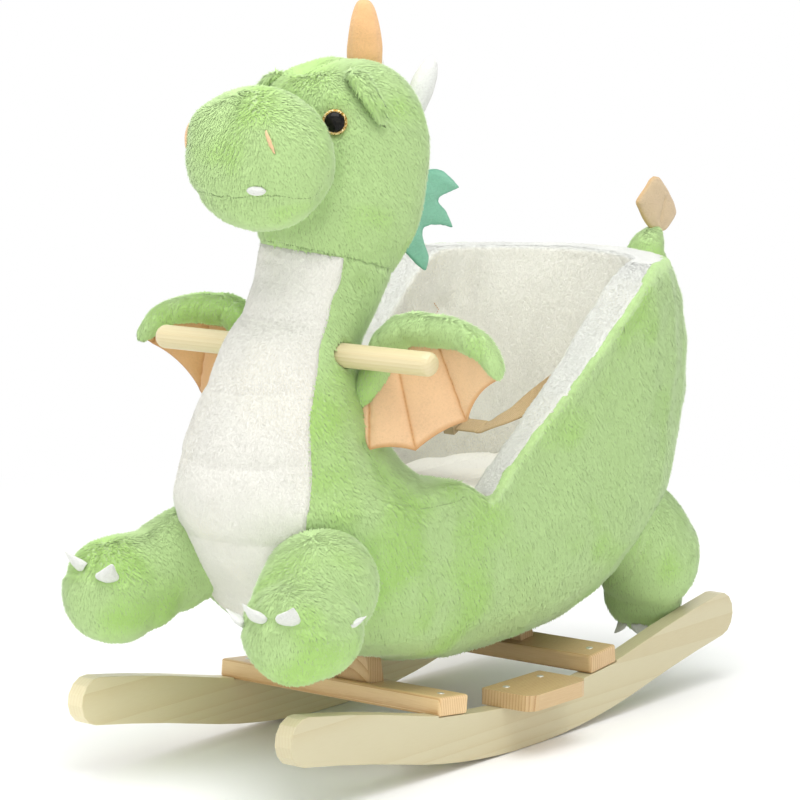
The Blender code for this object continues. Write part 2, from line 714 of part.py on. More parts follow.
def half_space(name, side, point, turn=Matrix.Identity(4)):
    """Large block above (+1) or below (-1) a plane through a point."""
    offset = turn.to_3x3() @ Vector((0, 0, side * FAR / 2))
    return box(name, (FAR, 2 * FAR, FAR), Vector(point) + offset, turn=turn)


def make_body(handle_way):
    """Stuffed body, neck, head and muzzle. Returns the cutters that trim meets."""
    slots = [make_post("post slot", SLOT_GAP), make_handle_block("block slot", SLOT_GAP),
             make_rear_riser("riser slot", SLOT_GAP), make_cleat("cleat slot", SLOT_GAP)]
    board_slot = make_seat_board("seat board slot", SLOT_GAP)
    above_seat = half_space("above the seat level", 1, (0, 0, SEAT_LEVEL))
    below_seat = half_space("below the seat level", -1, (0, 0, SEAT_LEVEL + GAP))
    seam_turn = Matrix.Rotation(math.radians(SEAM_TILT), 4, "X")
    above_seam = half_space("above the neck seam", 1, (0, SEAM_Y, SEAM_Z), seam_turn)
    below_seam = half_space("below the neck seam", -1, (0, SEAM_Y, SEAM_Z + GAP), seam_turn)

    torso = level_loft("torso", BODY_FORM, finish="green_plush")
    cut(torso, above_seat, slots[0], slots[2], slots[3])
    neck = level_loft("neck", NECK_FORM, finish="green_plush")
    lining_space = level_loft("lining space", well_form(), grow=LINING + GAP)
    cut(neck, below_seat, above_seam, lining_space, *slots[:2], board_slot, handle_way)
    head = level_loft("head", HEAD_FORM, finish="green_plush")
    cut(head, below_seam)
    head_space = level_loft("head space", HEAD_FORM, grow=GAP)
    muzzle = ball("muzzle", MUZZLE_CENTRE, MUZZLE_RADII, 24, 12, finish="green_plush")
    cut(muzzle, head_space)

    neck_space = level_loft("neck space", NECK_FORM, grow=GAP)
    body_space = level_loft("body space", BODY_FORM, grow=GAP)
    make_seat(below_seat, board_slot, neck_space, lining_space)
    make_belly_panel(above_seam, make_legs(body_space))
    return head_space, neck_space, body_space


def make_seat(below_seat, board_slot, neck_space, lining_space):
    before = box("before the seat", (FAR, FAR, 2 * FAR), (0, SEAT_FRONT - FAR / 2, 0))
    back_slot = make_back_board("back board slot", SLOT_GAP, below=20 * MM)
    shell = level_loft("seat_shell", BODY_FORM, finish="green_plush")
    cut(shell, below_seat, before, rim_cutter("above the shell", RIM_LINING + GAP, FAR),
        lining_space, neck_space, board_slot, back_slot)

    cap = level_loft("rim cap", BODY_FORM)
    before_cap = box("before the rim cap", (FAR, FAR, 2 * FAR), (0, RIM_V_Y - FAR / 2, 0))
    cut(cap, before_cap, rim_cutter("under the rim cap", RIM_LINING, -FAR))
    lining = level_loft("seat_lining", well_form(), grow=LINING, finish="cream_plush")
    combine(lining, cap, "UNION")
    well = level_loft("well", well_form())
    cut(lining, rim_cutter("above the lining", 0.0, FAR), well, below_seat, board_slot)
    make_cushion()


def make_cushion():
    """Crowned pad that fills the floor of the well."""
    base = SEAT_LEVEL + GAP * 2 + SEAT_BOARD_THICKNESS
    well_rows, _, arc_points, flank_points = well_form()
    _, front_half, rear_half, front, front_centre, rear_centre, rear = well_rows[1]
    rows = []
    for share, draw_in in ((0.0, 5.0), (0.25, 1.0), (0.55, 1.0), (0.82, 6.0), (1.0, 26.0)):
        inset = draw_in + CUSHION_CLEARANCE / MM
        rows.append(((base + CUSHION_HEIGHT * share) / MM, front_half - inset,
                     rear_half - inset, front + inset, front_centre + inset,
                     rear_centre - inset, rear - inset))
    return level_loft("seat_cushion", (rows, 2, arc_points, flank_points),
                      finish="cream_plush")


def mirrored(points, side, lift=0.0, lift_from=0.0):
    """Spine of the left (+1) or right (-1) limb, raised towards its end."""
    last = len(points) - 1
    rows = []
    for k, (x, y, z, _) in enumerate(points):
        share = max(0.0, k / last - lift_from) / (1 - lift_from)
        rows.append((side * x, y, z + lift / MM * share))
    return rows, [point[3] for point in points]


def claw_cone(name, centre, radius, yaw, pitch, side):
    """Claw on a round foot. The yaw is measured outwards from straight ahead."""
    turn = math.radians(yaw)
    rise = math.radians(pitch)
    out = Vector((side * math.sin(turn) * math.cos(rise), -math.cos(turn) * math.cos(rise),
                  math.sin(rise)))
    bm = bmesh.new()
    rotation = out.to_track_quat("Z", "Y").to_matrix().to_4x4()
    start = centre + out * (radius - CLAW_LENGTH * 0.4)
    bmesh.ops.create_cone(bm, cap_ends=True, segments=8, radius1=CLAW_DIAMETER / 2,
                          radius2=CLAW_DIAMETER / 8, depth=CLAW_LENGTH,
                          matrix=Matrix.Translation(start + out * CLAW_LENGTH / 2) @ rotation)
    return add_object(name, finish_mesh(name, bm))


def make_legs(body_space):
    """Four stuffed legs with their claws. Returns grown copies of the front ones."""
    grown = []
    for word, side in (("left", 1), ("right", -1)):
        lift = RIGHT_FOOT_LIFT if side < 0 else 0.0
        spine, radii = mirrored(FRONT_LEG, side, lift, 0.3)
        front = limb_loft(f"{word}_front_leg", spine, radii, 1, 14, finish="green_plush")
        centre = Vector((side * FOOT_CENTRE.x, FOOT_CENTRE.y, FOOT_CENTRE.z + lift))
        for k, (yaw, pitch) in enumerate(FRONT_CLAWS):
            claw = claw_cone(f"{word} front claw {k}", centre, FOOT_RADIUS, yaw, pitch, side)
            combine(front, claw, "UNION")
        cut(front, body_space)
        grown.append(limb_loft(f"{word} front leg space", spine, radii, 1, 14, grow=GAP))
        spine, radii = mirrored(REAR_LEG, side)
        rear = limb_loft(f"{word}_rear_leg", spine, radii, 1, 14, finish="green_plush")
        toe = Vector((side * REAR_TOE.x, REAR_TOE.y, REAR_TOE.z))
        for k, (yaw, pitch) in enumerate(REAR_CLAWS):
            claw = claw_cone(f"{word} rear claw {k}", toe, REAR_TOE_RADIUS, yaw, pitch, side)
            combine(rear, claw, "UNION")
        cut(rear, body_space)
    return grown


def make_belly_panel(above_seam, legs):
    """Quilted panel laid on the front of the chest and the lower body."""
    panel = level_loft("belly_panel", CHEST_FORM, grow=BELLY_THICKNESS, finish="cream_plush")
    depth = 200 * MM
    front = plate("belly front", belly_outline(), depth,
                  Matrix.Translation((0, BELLY_REAR - depth / 2, 0))
                  @ Matrix.Rotation(math.pi / 2, 4, "X"))
    chest_space = level_loft("chest space", CHEST_FORM, grow=GAP)
    cut(panel, chest_space, above_seam)
    combine(panel, front, "INTERSECT")
    cut(panel, *legs)


def belly_outline():
    """Front view of the belly panel, from the throat to its rounded point."""
    rows = ((478, 40), (462, 42), (431, 44.5), (388, 52), (346, 58), (310, 66), (285, 73),
            (256, 77), (229, 74), (190, 66), (158, 54), (135, 38), (118, 14))
    right = [(half * MM, z * MM) for z, half in rows]
    return right + [(-x, z) for x, z in reversed(right)]


def make_head_trim(head_space, neck_space):
    for word, side in (("left", 1), ("right", -1)):
        x, y, z = EYE_CENTRE
        turn = Matrix.Rotation(math.radians(EYE_TURN) * side, 4, "Z")
        eye = ball(f"{word}_eye", (side * x, y, z),
                   (EYE_DIAMETER / 2, EYE_DEPTH / 2, EYE_DIAMETER / 2), 16, 10,
                   finish="eye_plastic", turn=turn)
        cut(eye, head_space)
        spine, radii = mirrored(HORN, side)
        horn = limb_loft(f"{word}_horn", spine, radii, 1, 10, finish="white_felt")
        cut(horn, head_space)
        ear = ball(f"{word}_ear", (side * 55 * MM, -147 * MM, 606 * MM),
                   (13 * MM, 7 * MM, 24 * MM), 12, 8, finish="green_plush",
                   turn=Matrix.Rotation(math.radians(35) * side, 4, "Y")
                   @ Matrix.Rotation(math.radians(40) * side, 4, "Z"))
        cut(ear, head_space)
    crown = turned("crown_horn", crown_outline(), 20, Matrix.Translation(CROWN_BASE),
                   "peach_felt")
    cut(crown, head_space)
    fin = plate("neck_fin", fin_outline(), FELT, SIDE_VIEW, "teal_felt")
    cut(fin, head_space, neck_space)


def crown_outline():
    """Half section of the horn on the crown, from its tip down to its foot."""
    radius = CROWN_DIAMETER / 2
    rows = ((1.0, 0.0), (0.99, 0.14), (0.95, 0.27), (0.85, 0.42), (0.6, 0.65), (0.3, 0.85),
            (0.0, 1.0), (-0.3, 1.0))
    side = [(radius * share, CROWN_HEIGHT * height) for height, share in rows]
    return side + [(0.0, -0.3 * CROWN_HEIGHT)]


def fin_outline():
    """Edge of the felt fin: every spike is one smooth stretch, and the root is hidden."""
    outline = []
    for spike in FIN_SPIKES:
        points = [Vector(point) for point in spike]
        steps = 2 * (len(points) - 1)
        for k in range(steps):
            y, z = catmull_rom(points, k / 2)
            outline.append((y * MM, z * MM))
    y, z = FIN_SPIKES[-1][-1]
    return outline + [(y * MM, z * MM), (-100 * MM, 480 * MM), (-100 * MM, 520 * MM)]


def make_wings(neck_space):
    lean = Matrix.Rotation(math.pi / 2 - math.radians(WING_LEAN), 4, "X")
    placing = Matrix.Translation((0, WING_Y, WING_Z)) @ lean
    for word, side in (("left", 1), ("right", -1)):
        spine = [tuple(placing @ Vector((side * x * MM, z * MM, 0)) / MM)
                 for x, z, _ in WING_ARM]
        radii = [point[2] for point in WING_ARM]
        arm = limb_loft(f"{word}_wing_arm", spine, radii, 1, 10, finish="green_plush")
        cut(arm, neck_space)
        arm_space = limb_loft(f"{word} wing arm space", spine, radii, 1, 10, grow=GAP)
        edge = [(side * x, y, z) for x, y, z in WING_EDGE]
        skin = membrane(f"{word}_wing_skin", spine[1:-1], edge)
        cut(skin, arm_space, neck_space)


def membrane(name, upper, lower):
    """Felt sheet ruled between the arm's spine and the scalloped edge."""
    bm = bmesh.new()
    rows = [[bm.verts.new(Vector(point) * MM) for point in row] for row in (upper, lower)]
    for k in range(len(upper) - 1):
        bm.faces.new((rows[0][k], rows[0][k + 1], rows[1][k + 1], rows[1][k]))
    mesh = bpy.data.meshes.new(name)
    bm.to_mesh(mesh)
    bm.free()
    piece = add_object(name, mesh, "peach_felt")
    solidify = piece.modifiers.new("felt", "SOLIDIFY")
    solidify.thickness = WING_FELT
    solidify.offset = 0.0
    return piece


def make_tail(body_space):
    spine, radii = mirrored(TAIL, 1)
    tail = limb_loft("tail", spine, radii, 1, 12, finish="green_plush")
    tail_space = limb_loft("tail space", spine, radii, 1, 12, grow=GAP)
    cut(tail, body_space)
    outline = [(y * MM, z * MM) for y, z in TAIL_TIP]
    tip = plate("tail_tip", outline, TAIL_TIP_THICKNESS, SIDE_VIEW, "peach_felt")
    bevel(tip, TAIL_TIP_THICKNESS * 0.35)
    cut(tip, tail_space)


def belt_strip(name, rows, finish):
    """Flat tape through rows of a point and the direction of its width."""
    rings = []
    last = len(rows) - 1
    steps = 3
    points = [Vector(point) * MM for point, _ in rows]
    widths = [Vector(width).normalized() for _, width in rows]
    for k in range(last * steps + 1):
        position = k / steps
        along = (catmull_rom(points, min(position + 0.05, last))
                 - catmull_rom(points, max(position - 0.05, 0))).normalized()
        across = catmull_rom(widths, position)
        across = (across - along * across.dot(along)).normalized()
        thick = along.cross(across)
        centre = catmull_rom(points, position)
        rings.append([centre + across * BELT_WIDTH / 2 * i + thick * BELT_THICKNESS / 2 * j
                      for i, j in ((1, 1), (-1, 1), (-1, -1), (1, -1))])
    return add_object(name, loft_rings(name, rings), finish)


def make_belt():
    """Lap belt from wall to wall, with its buckle in the middle of the lap."""
    flat = (0, math.cos(math.radians(BELT_TILT)), math.sin(math.radians(BELT_TILT)))
    lap = Matrix.Translation(BELT_LAP) @ Matrix.Rotation(math.radians(BELT_TILT), 4, "X")
    inside_well = level_loft("inside the well", well_form(), grow=-GAP)
    for word, side in (("left", 1), ("right", -1)):
        drop = -BELT_DROP / MM if side > 0 else 0.0
        low = lap @ Vector((0, 0, drop * MM))
        start = (STRAP_END if side > 0 else SOCKET_LENGTH * 0.5 + GAP) / MM
        path = [(x, low.y / MM, low.z / MM) for x in (start, 43, 64, 68)]
        path += [(80, 15, 300), (91, 30, 308), (98, 52, 319), (103, 82, 333), (107, 115, 348),
                 (112, 150, 365), (122, 180, 380)]
        widths = [flat] * 4 + [(-0.2, 0.85, 0.42), (-0.3, 0.8, 0.5), (-0.3, 0.6, 0.75),
                               (-0.2, 0.3, 1), (-0.1, 0, 1), (0, -0.2, 1), (0, -0.4, 1)]
        rows = [((side * x, y, z), (side * a, b, c)) for (x, y, z), (a, b, c) in zip(path, widths)]
        strap = belt_strip(f"{word}_belt", rows, "belt_web")
        combine(strap, inside_well, "INTERSECT")
    make_buckle(lap)


def make_buckle(lap):
    """Socket on the right strap, and a tongue that the left strap passes under."""
    height = PRONG_THICKNESS + 2 * GAP + 2 * BUCKLE_WALL
    mouth = SOCKET_LENGTH / 2
    socket = box("buckle_socket", (SOCKET_LENGTH, BUCKLE_WIDTH, height), (0, 0, 0),
                 "buckle_plastic")
    bevel(socket, 1.2 * MM)
    hollow = box("socket hollow", (SOCKET_DEPTH * 2, BUCKLE_WIDTH - 2 * BUCKLE_WALL,
                                   PRONG_THICKNESS + 2 * GAP), (mouth, 0, 0))
    cut(socket, hollow)
    root = mouth + GAP
    tongue = box("buckle_tongue", (TONGUE_LENGTH, BUCKLE_WIDTH, PRONG_THICKNESS),
                 (root + TONGUE_LENGTH / 2, 0, 0), "buckle_plastic")
    spread = BUCKLE_WIDTH / 2 - BUCKLE_WALL - GAP - PRONG_WIDTH / 2
    for name, y in (("front prong", -spread), ("middle prong", 0.0), ("rear prong", spread)):
        prong = box(name, (PRONG_LENGTH + PRONG_WIDTH, PRONG_WIDTH, PRONG_THICKNESS * 0.98),
                    (root - PRONG_LENGTH / 2 + PRONG_WIDTH / 2, y, 0))
        combine(tongue, prong, "UNION")
    for piece in (socket, tongue, hollow, *(CUTTERS.objects[name] for name in
                                            ("front prong", "middle prong", "rear prong"))):
        piece.matrix_world = lap
    loop_height = BELT_DROP + PRONG_THICKNESS
    loop = box("strap loop", (TONGUE_LENGTH / 2, BUCKLE_WIDTH, loop_height),
               lap @ Vector((root + TONGUE_LENGTH * 0.72, 0, -loop_height / 2)),
               turn=lap.to_3x3().to_4x4())
    way = box("strap way", (TONGUE_LENGTH * 3, BELT_WIDTH + 2 * GAP,
                            BELT_THICKNESS + 2 * GAP),
              lap @ Vector((root + TONGUE_LENGTH * 0.72, 0, -BELT_DROP)),
              turn=lap.to_3x3().to_4x4())
    combine(tongue, loop, "UNION")
    cut(tongue, way)


def main():
    clear_scene()
    make_base()
    handle_way = make_skeleton()
    head_space, neck_space, body_space = make_body(handle_way)
    make_head_trim(head_space, neck_space)
    make_wings(neck_space)
    make_tail(body_space)
    make_belt()


PARTS = new_collection("dragon rocker")
CUTTERS = new_collection("cutters")
main()
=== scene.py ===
"""Plush dragon rocker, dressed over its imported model.

Metres, +Z up. The dragon faces -Y and its left side is +X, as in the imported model.
"""

import math
from functools import cache

import bmesh
import bpy
import numpy as np
from bpy.props import FloatProperty, FloatVectorProperty, IntProperty, PointerProperty
from mathutils import Matrix, Vector, noise
from mathutils.bvhtree import BVHTree


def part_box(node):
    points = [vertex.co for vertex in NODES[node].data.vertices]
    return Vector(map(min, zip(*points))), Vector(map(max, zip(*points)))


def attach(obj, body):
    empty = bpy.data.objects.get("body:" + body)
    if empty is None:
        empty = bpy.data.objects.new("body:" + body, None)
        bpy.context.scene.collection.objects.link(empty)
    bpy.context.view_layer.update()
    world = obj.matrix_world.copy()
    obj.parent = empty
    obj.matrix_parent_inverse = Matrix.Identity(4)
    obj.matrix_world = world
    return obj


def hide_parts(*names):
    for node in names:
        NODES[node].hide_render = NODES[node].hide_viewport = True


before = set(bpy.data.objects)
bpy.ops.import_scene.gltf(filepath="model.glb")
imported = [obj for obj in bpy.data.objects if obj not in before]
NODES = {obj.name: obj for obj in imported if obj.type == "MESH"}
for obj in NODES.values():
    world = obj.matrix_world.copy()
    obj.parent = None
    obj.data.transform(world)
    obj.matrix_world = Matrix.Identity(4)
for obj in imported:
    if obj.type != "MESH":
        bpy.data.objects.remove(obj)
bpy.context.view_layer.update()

bl_info = {
    "name": "Plush Dragon Rocker",
    "version": (1, 0, 0),
    "blender": (4, 5, 0),
    "location": "3D View > Sidebar > Dragon Rocker",
    "description": "Dresses a packed rocking animal in plush, felt, webbing and pine",
    "category": "Object",
}

MM = 0.001
BODY = "rocker"
SIDES = (("left", 1), ("right", -1))


# Node trees

class Wire:
    """Output of a node. Arithmetic on it adds Math nodes to its tree."""

    def __init__(self, tree, socket):
        self.tree = tree
        self.socket = socket

    def other(self, name):
        """Another output of the same node."""
        return Wire(self.tree, self.socket.node.outputs[name])

    def __add__(self, other):
        return self.tree.math("ADD", self, other)

    def __sub__(self, other):
        return self.tree.math("SUBTRACT", self, other)

    def __rsub__(self, other):
        return self.tree.math("SUBTRACT", other, self)

    def __mul__(self, other):
        return self.tree.math("MULTIPLY", self, other)

    def __pow__(self, other):
        return self.tree.math("POWER", self, other)

    __radd__ = __add__
    __rmul__ = __mul__


def rgba(colour):
    return colour if isinstance(colour, Wire) or len(colour) == 4 else (*colour, 1.0)


def shade(colour, factor):
    return tuple(part * factor for part in colour[:3])


def between(first, second, share):
    return tuple(a * (1 - share) + b * share for a, b in zip(first, second))


class Tree:
    """A node tree that is filled one node at a time."""

    def __init__(self, tree):
        self.tree = tree
        tree.nodes.clear()

    def add(self, kind, settings=None, values=None, output=0):
        node = self.tree.nodes.new(kind)
        for key, value in (settings or {}).items():
            setattr(node, key, value)
        for key, value in (values or {}).items():
            if isinstance(value, Wire):
                self.tree.links.new(value.socket, node.inputs[key])
            else:
                node.inputs[key].default_value = value
        return Wire(self, node.outputs[output]) if node.outputs else node

    def math(self, operation, *values):
        return self.add("ShaderNodeMath", {"operation": operation}, dict(enumerate(values)))

    def vector(self, operation, *values, output=0):
        return self.add("ShaderNodeVectorMath", {"operation": operation},
                        dict(enumerate(values)), output)

    def scaled(self, vector, factor):
        return self.add("ShaderNodeVectorMath", {"operation": "SCALE"},
                        {0: vector, "Scale": factor})

    def part(self, vector, axis):
        return self.add("ShaderNodeSeparateXYZ", {}, {0: vector}, axis)

    def fade(self, value, low, high, start=0.0, end=1.0):
        """A value that goes smoothly from start to end between two levels."""
        return self.add("ShaderNodeMapRange", {"interpolation_type": "SMOOTHSTEP"},
                        {0: value, 1: low, 2: high, 3: start, 4: end})

    def attribute(self, name, output="Fac"):
        return self.add("ShaderNodeAttribute", {"attribute_name": name}, output=output)

    def mix(self, factor, first, second, blend="MIX"):
        """Blend of two colours."""
        return self.add("ShaderNodeMix", {"data_type": "RGBA", "blend_type": blend},
                        {0: factor, 6: rgba(first), 7: rgba(second)}, 2)

    def ramp(self, level, *stops):
        """Colours blended between stops of (level, colour)."""
        wire = self.add("ShaderNodeValToRGB", {}, {0: level})
        elements = wire.socket.node.color_ramp.elements
        while len(elements) < len(stops):
            elements.new(1.0)
        for element, (level, colour) in zip(elements, stops):
            element.position, element.color = level, rgba(colour)
        return wire


INPUTS = {"sheen": "Sheen Weight", "sheen_rough": "Sheen Roughness", "metal": "Metallic",
          "gloss": "Specular IOR Level", "coat": "Coat Weight", "coat_rough": "Coat Roughness",
          "colour": "Base Color"}


def new_finish(name, roughness, **constants):
    """Material with one Principled shader. Returns it, its tree and the shader."""
    material = bpy.data.materials.new(name)
    material.use_nodes = True
    tree = Tree(material.node_tree)
    shader = tree.add("ShaderNodeBsdfPrincipled", {}, {"Roughness": roughness, **{
        INPUTS[key]: value for key, value in constants.items()}})
    tree.add("ShaderNodeOutputMaterial", {}, {0: shader})
    return material, tree, shader.socket.node


def feed(tree, shader, **values):
    for key, value in values.items():
        name = key.replace("_", " ").title()
        tree.tree.links.new(value.socket, shader.inputs[name])


def place(tree, scale=(1, 1, 1), shift=(0, 0, 0)):
    """Object coordinates, scaled and shifted."""
    spot = tree.add("ShaderNodeTexCoord", output="Object")
    return tree.add("ShaderNodeMapping", {}, {0: spot, 1: shift, 3: scale})


def speckle(tree, spot, scale, detail=2.0, rough=0.5):
    return tree.add("ShaderNodeTexNoise", {}, {"Vector": spot, "Scale": scale,
                                               "Detail": detail, "Roughness": rough})


def bump(tree, height, distance, strength=1.0):
    return tree.add("ShaderNodeBump", {}, {"Strength": strength, "Distance": distance,
                                           "Height": height})


# Finishes

def shade_on_upward_faces(tree, colour, normal):
    """A colour, a little greyer where the surface faces up: painted shade on the faces that take
    the most light from above.
    """
    return tree.mix(tree.fade(tree.part(normal, "Z"), 0.25, 0.85), colour,
                    (0.83, 0.85, 0.88), "MULTIPLY")


def light_at_belly_ends(tree, colour, normal):
    """A colour, a little darker between the foot and the top of the belly, so that the top and the
    foot stand lighter: painted light against the shade under the head and low on the belly.
    """
    height = tree.part(place(tree), "Z")
    middle = tree.fade(height, 0.21, 0.31) * tree.fade(height, 0.39, 0.47, 1.0, 0.0)
    return tree.mix(middle, colour, (0.90, 0.90, 0.90), "MULTIPLY")


def plush_ground(name, colour, depth=1.0, tone=None):
    """Cloth under the pile, seen between the tufts and where the pile is thin."""
    material, tree, shader = new_finish(name, 0.95, sheen=0.25, sheen_rough=0.5, gloss=0.15)
    spot = place(tree)
    broad = speckle(tree, spot, 38.0, 3.0)
    clump = speckle(tree, spot, 190.0, 4.0, 0.6)
    fibre = speckle(tree, place(tree, (1.0, 1.0, 0.35)), 900.0, 3.0, 0.65)
    base = tree.ramp(broad * 0.35 + clump * 0.4 + fibre * 0.25,
                     (0.30, shade(colour, 1 - 0.26 * depth)),
                     (0.5, shade(colour, 1 - 0.08 * depth)),
                     (0.68, shade(colour, 1 + 0.07 * depth)))
    # The tone function paints light and shade on the colour: greyer upward faces, lighter ends of
    # the belly.
    if tone:
        base = tone(tree, base, tree.add("ShaderNodeNewGeometry", output="Normal"))
    feed(tree, shader, base_color=base,
         normal=bump(tree, clump * 0.6 + fibre * 0.5, 0.0022))
    return material


NAP_SHARE = 0.92


def pile_finish(name, root, tip, deep, tone=None):
    """Pile of short tufts: darker at the root, a painted shade deep in the pile, and deeper in
    tone where it is brushed down.
    """
    material, tree, shader = new_finish(name, 0.92, sheen=0.5, sheen_rough=0.4, gloss=0.12)
    nap = tree.attribute("nap", "Vector")
    broad = speckle(tree, place(tree), 42.0, 2.0)
    level = tree.attribute("tip") * 0.75 + tree.attribute("chance") * 0.22 + broad * 0.3
    base = tree.ramp(level, (0.12, root), (0.55, between(root, tip, 0.5)), (1.0, tip))
    brushed = speckle(tree, place(tree, shift=(0.3, 0.1, 0.7)), 11.0, 2.0, 0.45)
    depth = tree.ramp(brushed, (0.36, deep), (0.5, (0.98,) * 3), (0.66, (1.0,) * 3))
    base = tree.mix(1.0, base, depth, "MULTIPLY")
    # The tone function paints light and shade on the colour: greyer upward faces, lighter ends of
    # the belly.
    if tone:
        base = tone(tree, base, nap)
    own = tree.add("ShaderNodeNewGeometry", output="Normal")
    mean = tree.vector("ADD", tree.scaled(nap, NAP_SHARE), tree.scaled(own, 1 - NAP_SHARE))
    feed(tree, shader, base_color=base, normal=tree.vector("NORMALIZE", mean))
    return material


def felt_finish(name, colour, seam_shade=None):
    """Brushed felt: matted fibres, and a darker tone along its seams and edges, painted shade
    where the felt dips.
    """
    material, tree, shader = new_finish(name, 0.96, sheen=0.2, sheen_rough=0.6, gloss=0.1)
    spot = place(tree)
    matted = speckle(tree, spot, 420.0, 5.0, 0.7)
    long_fibre = speckle(tree, place(tree, (1.0, 0.25, 1.0)), 800.0, 4.0, 0.7)
    broad = speckle(tree, spot, 45.0, 2.0)
    level = matted * 0.4 + long_fibre * 0.35 + broad * 0.25
    base = tree.ramp(level, (0.3, shade(colour, 0.84)), (0.5, colour),
                     (0.7, shade(colour, 1.08)))
    # Painted shade along the seams, read from the seam attribute.
    if seam_shade:
        base = tree.mix(tree.attribute("seam"), base, seam_shade)
    feed(tree, shader, base_color=base, normal=bump(tree, level, 0.0016))
    return material


def pine(name, light, dark, axis, pith, figure=1.0):
    """Sawn and varnished pine. Rings run round a pith line far beside the board."""
    material, tree, shader = new_finish(name, 0.42, coat=0.35, coat_rough=0.3, gloss=0.35)
    along = {"x": (0.04, 1.0, 1.0), "y": (1.0, 0.04, 1.0), "z": (1.0, 1.0, 0.04)}[axis]
    spot = place(tree, along, pith)
    drift = speckle(tree, spot, 14.0, 2.0)
    warp = tree.vector("MULTIPLY", drift, tuple(0.007 * part ** 0.5 for part in along))
    flat = tree.vector("MULTIPLY", tree.vector("ADD", spot, warp),
                       tuple(float(part > 0.5) for part in along))
    ring = tree.math("FRACT", tree.vector("LENGTH", flat, output=1) * 300.0) ** 2.4
    pores = speckle(tree, spot, 1500.0, 3.0, 0.7)
    broad = speckle(tree, spot, 22.0, 3.0)
    base = tree.ramp(ring * 0.3 + broad * 0.42 + pores * 0.34, (0.25, light),
                     (0.25 + 0.35 / figure, between(light, dark, 1 / 3)),
                     (0.25 + 0.75 / figure, dark))
    feed(tree, shader, base_color=base, roughness=pores * 0.2 + 0.34,
         normal=bump(tree, ring * 0.3 + pores * 0.7, 0.0004, 0.5))
    return material


def webbing(name, colour, dark):
    """Woven tape: ribs along the UV map, with a selvedge on both sides."""
    material, tree, shader = new_finish(name, 0.8, sheen=0.15, gloss=0.25)
    spot = tree.add("ShaderNodeUVMap", {"uv_map": "tape"})
    across, along = tree.part(spot, "X"), tree.part(spot, "Y")
    warp = tree.math("SINE", across * (math.pi * 26))
    weft = tree.math("SINE", along * 4400.0 + warp * 1.6)
    weave = (warp * weft) * 0.5 + 0.5
    selvedge = tree.math("GREATER_THAN", tree.math("ABSOLUTE", across - 0.5), 0.43)
    fray = speckle(tree, place(tree), 700.0, 3.0)
    base = tree.ramp(weave * 0.35 + fray * 0.65, (0.1, dark), (0.6, colour))
    base = tree.mix(selvedge * 0.35, base, dark)
    feed(tree, shader, base_color=base, normal=bump(tree, weave + fray * 0.3, 0.0005))
    return material


def dark_steel(name):
    material, tree, shader = new_finish(name, 0.38, metal=0.6)
    worn = speckle(tree, place(tree), 900.0, 3.0)
    base = tree.ramp(worn, (0.35, (0.62, 0.60, 0.55)), (0.7, (0.86, 0.84, 0.80)))
    feed(tree, shader, base_color=base, roughness=worn * 0.3 + 0.25)
    return material


def button_black(name):
    material, tree, shader = new_finish(name, 0.08, gloss=0.12, coat=0.04, coat_rough=0.03)
    depth = speckle(tree, place(tree), 300.0, 2.0)
    base = tree.ramp(depth, (0.3, (0.004,) * 3), (0.8, (0.02, 0.018, 0.014)))
    feed(tree, shader, base_color=base, roughness=depth * 0.08 + 0.05)
    return material


def glitter_gold(name):
    material, tree, shader = new_finish(name, 0.35, metal=0.7)
    flakes = tree.add("ShaderNodeTexVoronoi", {"feature": "F1"},
                      {"Vector": place(tree), "Scale": 1400.0}, "Color")
    value = tree.add("ShaderNodeSeparateColor", {}, {0: flakes}, 0)
    base = tree.ramp(value, (0.2, (0.32, 0.17, 0.03)), (0.55, (0.72, 0.45, 0.10)),
                     (0.9, (0.98, 0.86, 0.52)))
    feed(tree, shader, base_color=base, roughness=value * 0.4 + 0.15,
         normal=bump(tree, value, 0.0003))
    return material


def moulded(name, colour):
    """Moulded plastic: a fine spark-eroded grain and scuffed high spots."""
    material, tree, shader = new_finish(name, 0.5, coat=0.1, coat_rough=0.4)
    grain = speckle(tree, place(tree), 2600.0, 2.0)
    scuff = speckle(tree, place(tree, (1.0, 3.0, 1.0)), 160.0, 4.0, 0.7)
    base = tree.mix(scuff * 0.6, shade(colour, 0.9), shade(colour, 1.12))
    feed(tree, shader, base_color=base, roughness=scuff * 0.3 + 0.3,
         normal=bump(tree, grain, 0.00015))
    return material


DEEP_CREAM = (1.0, 0.985, 0.94)


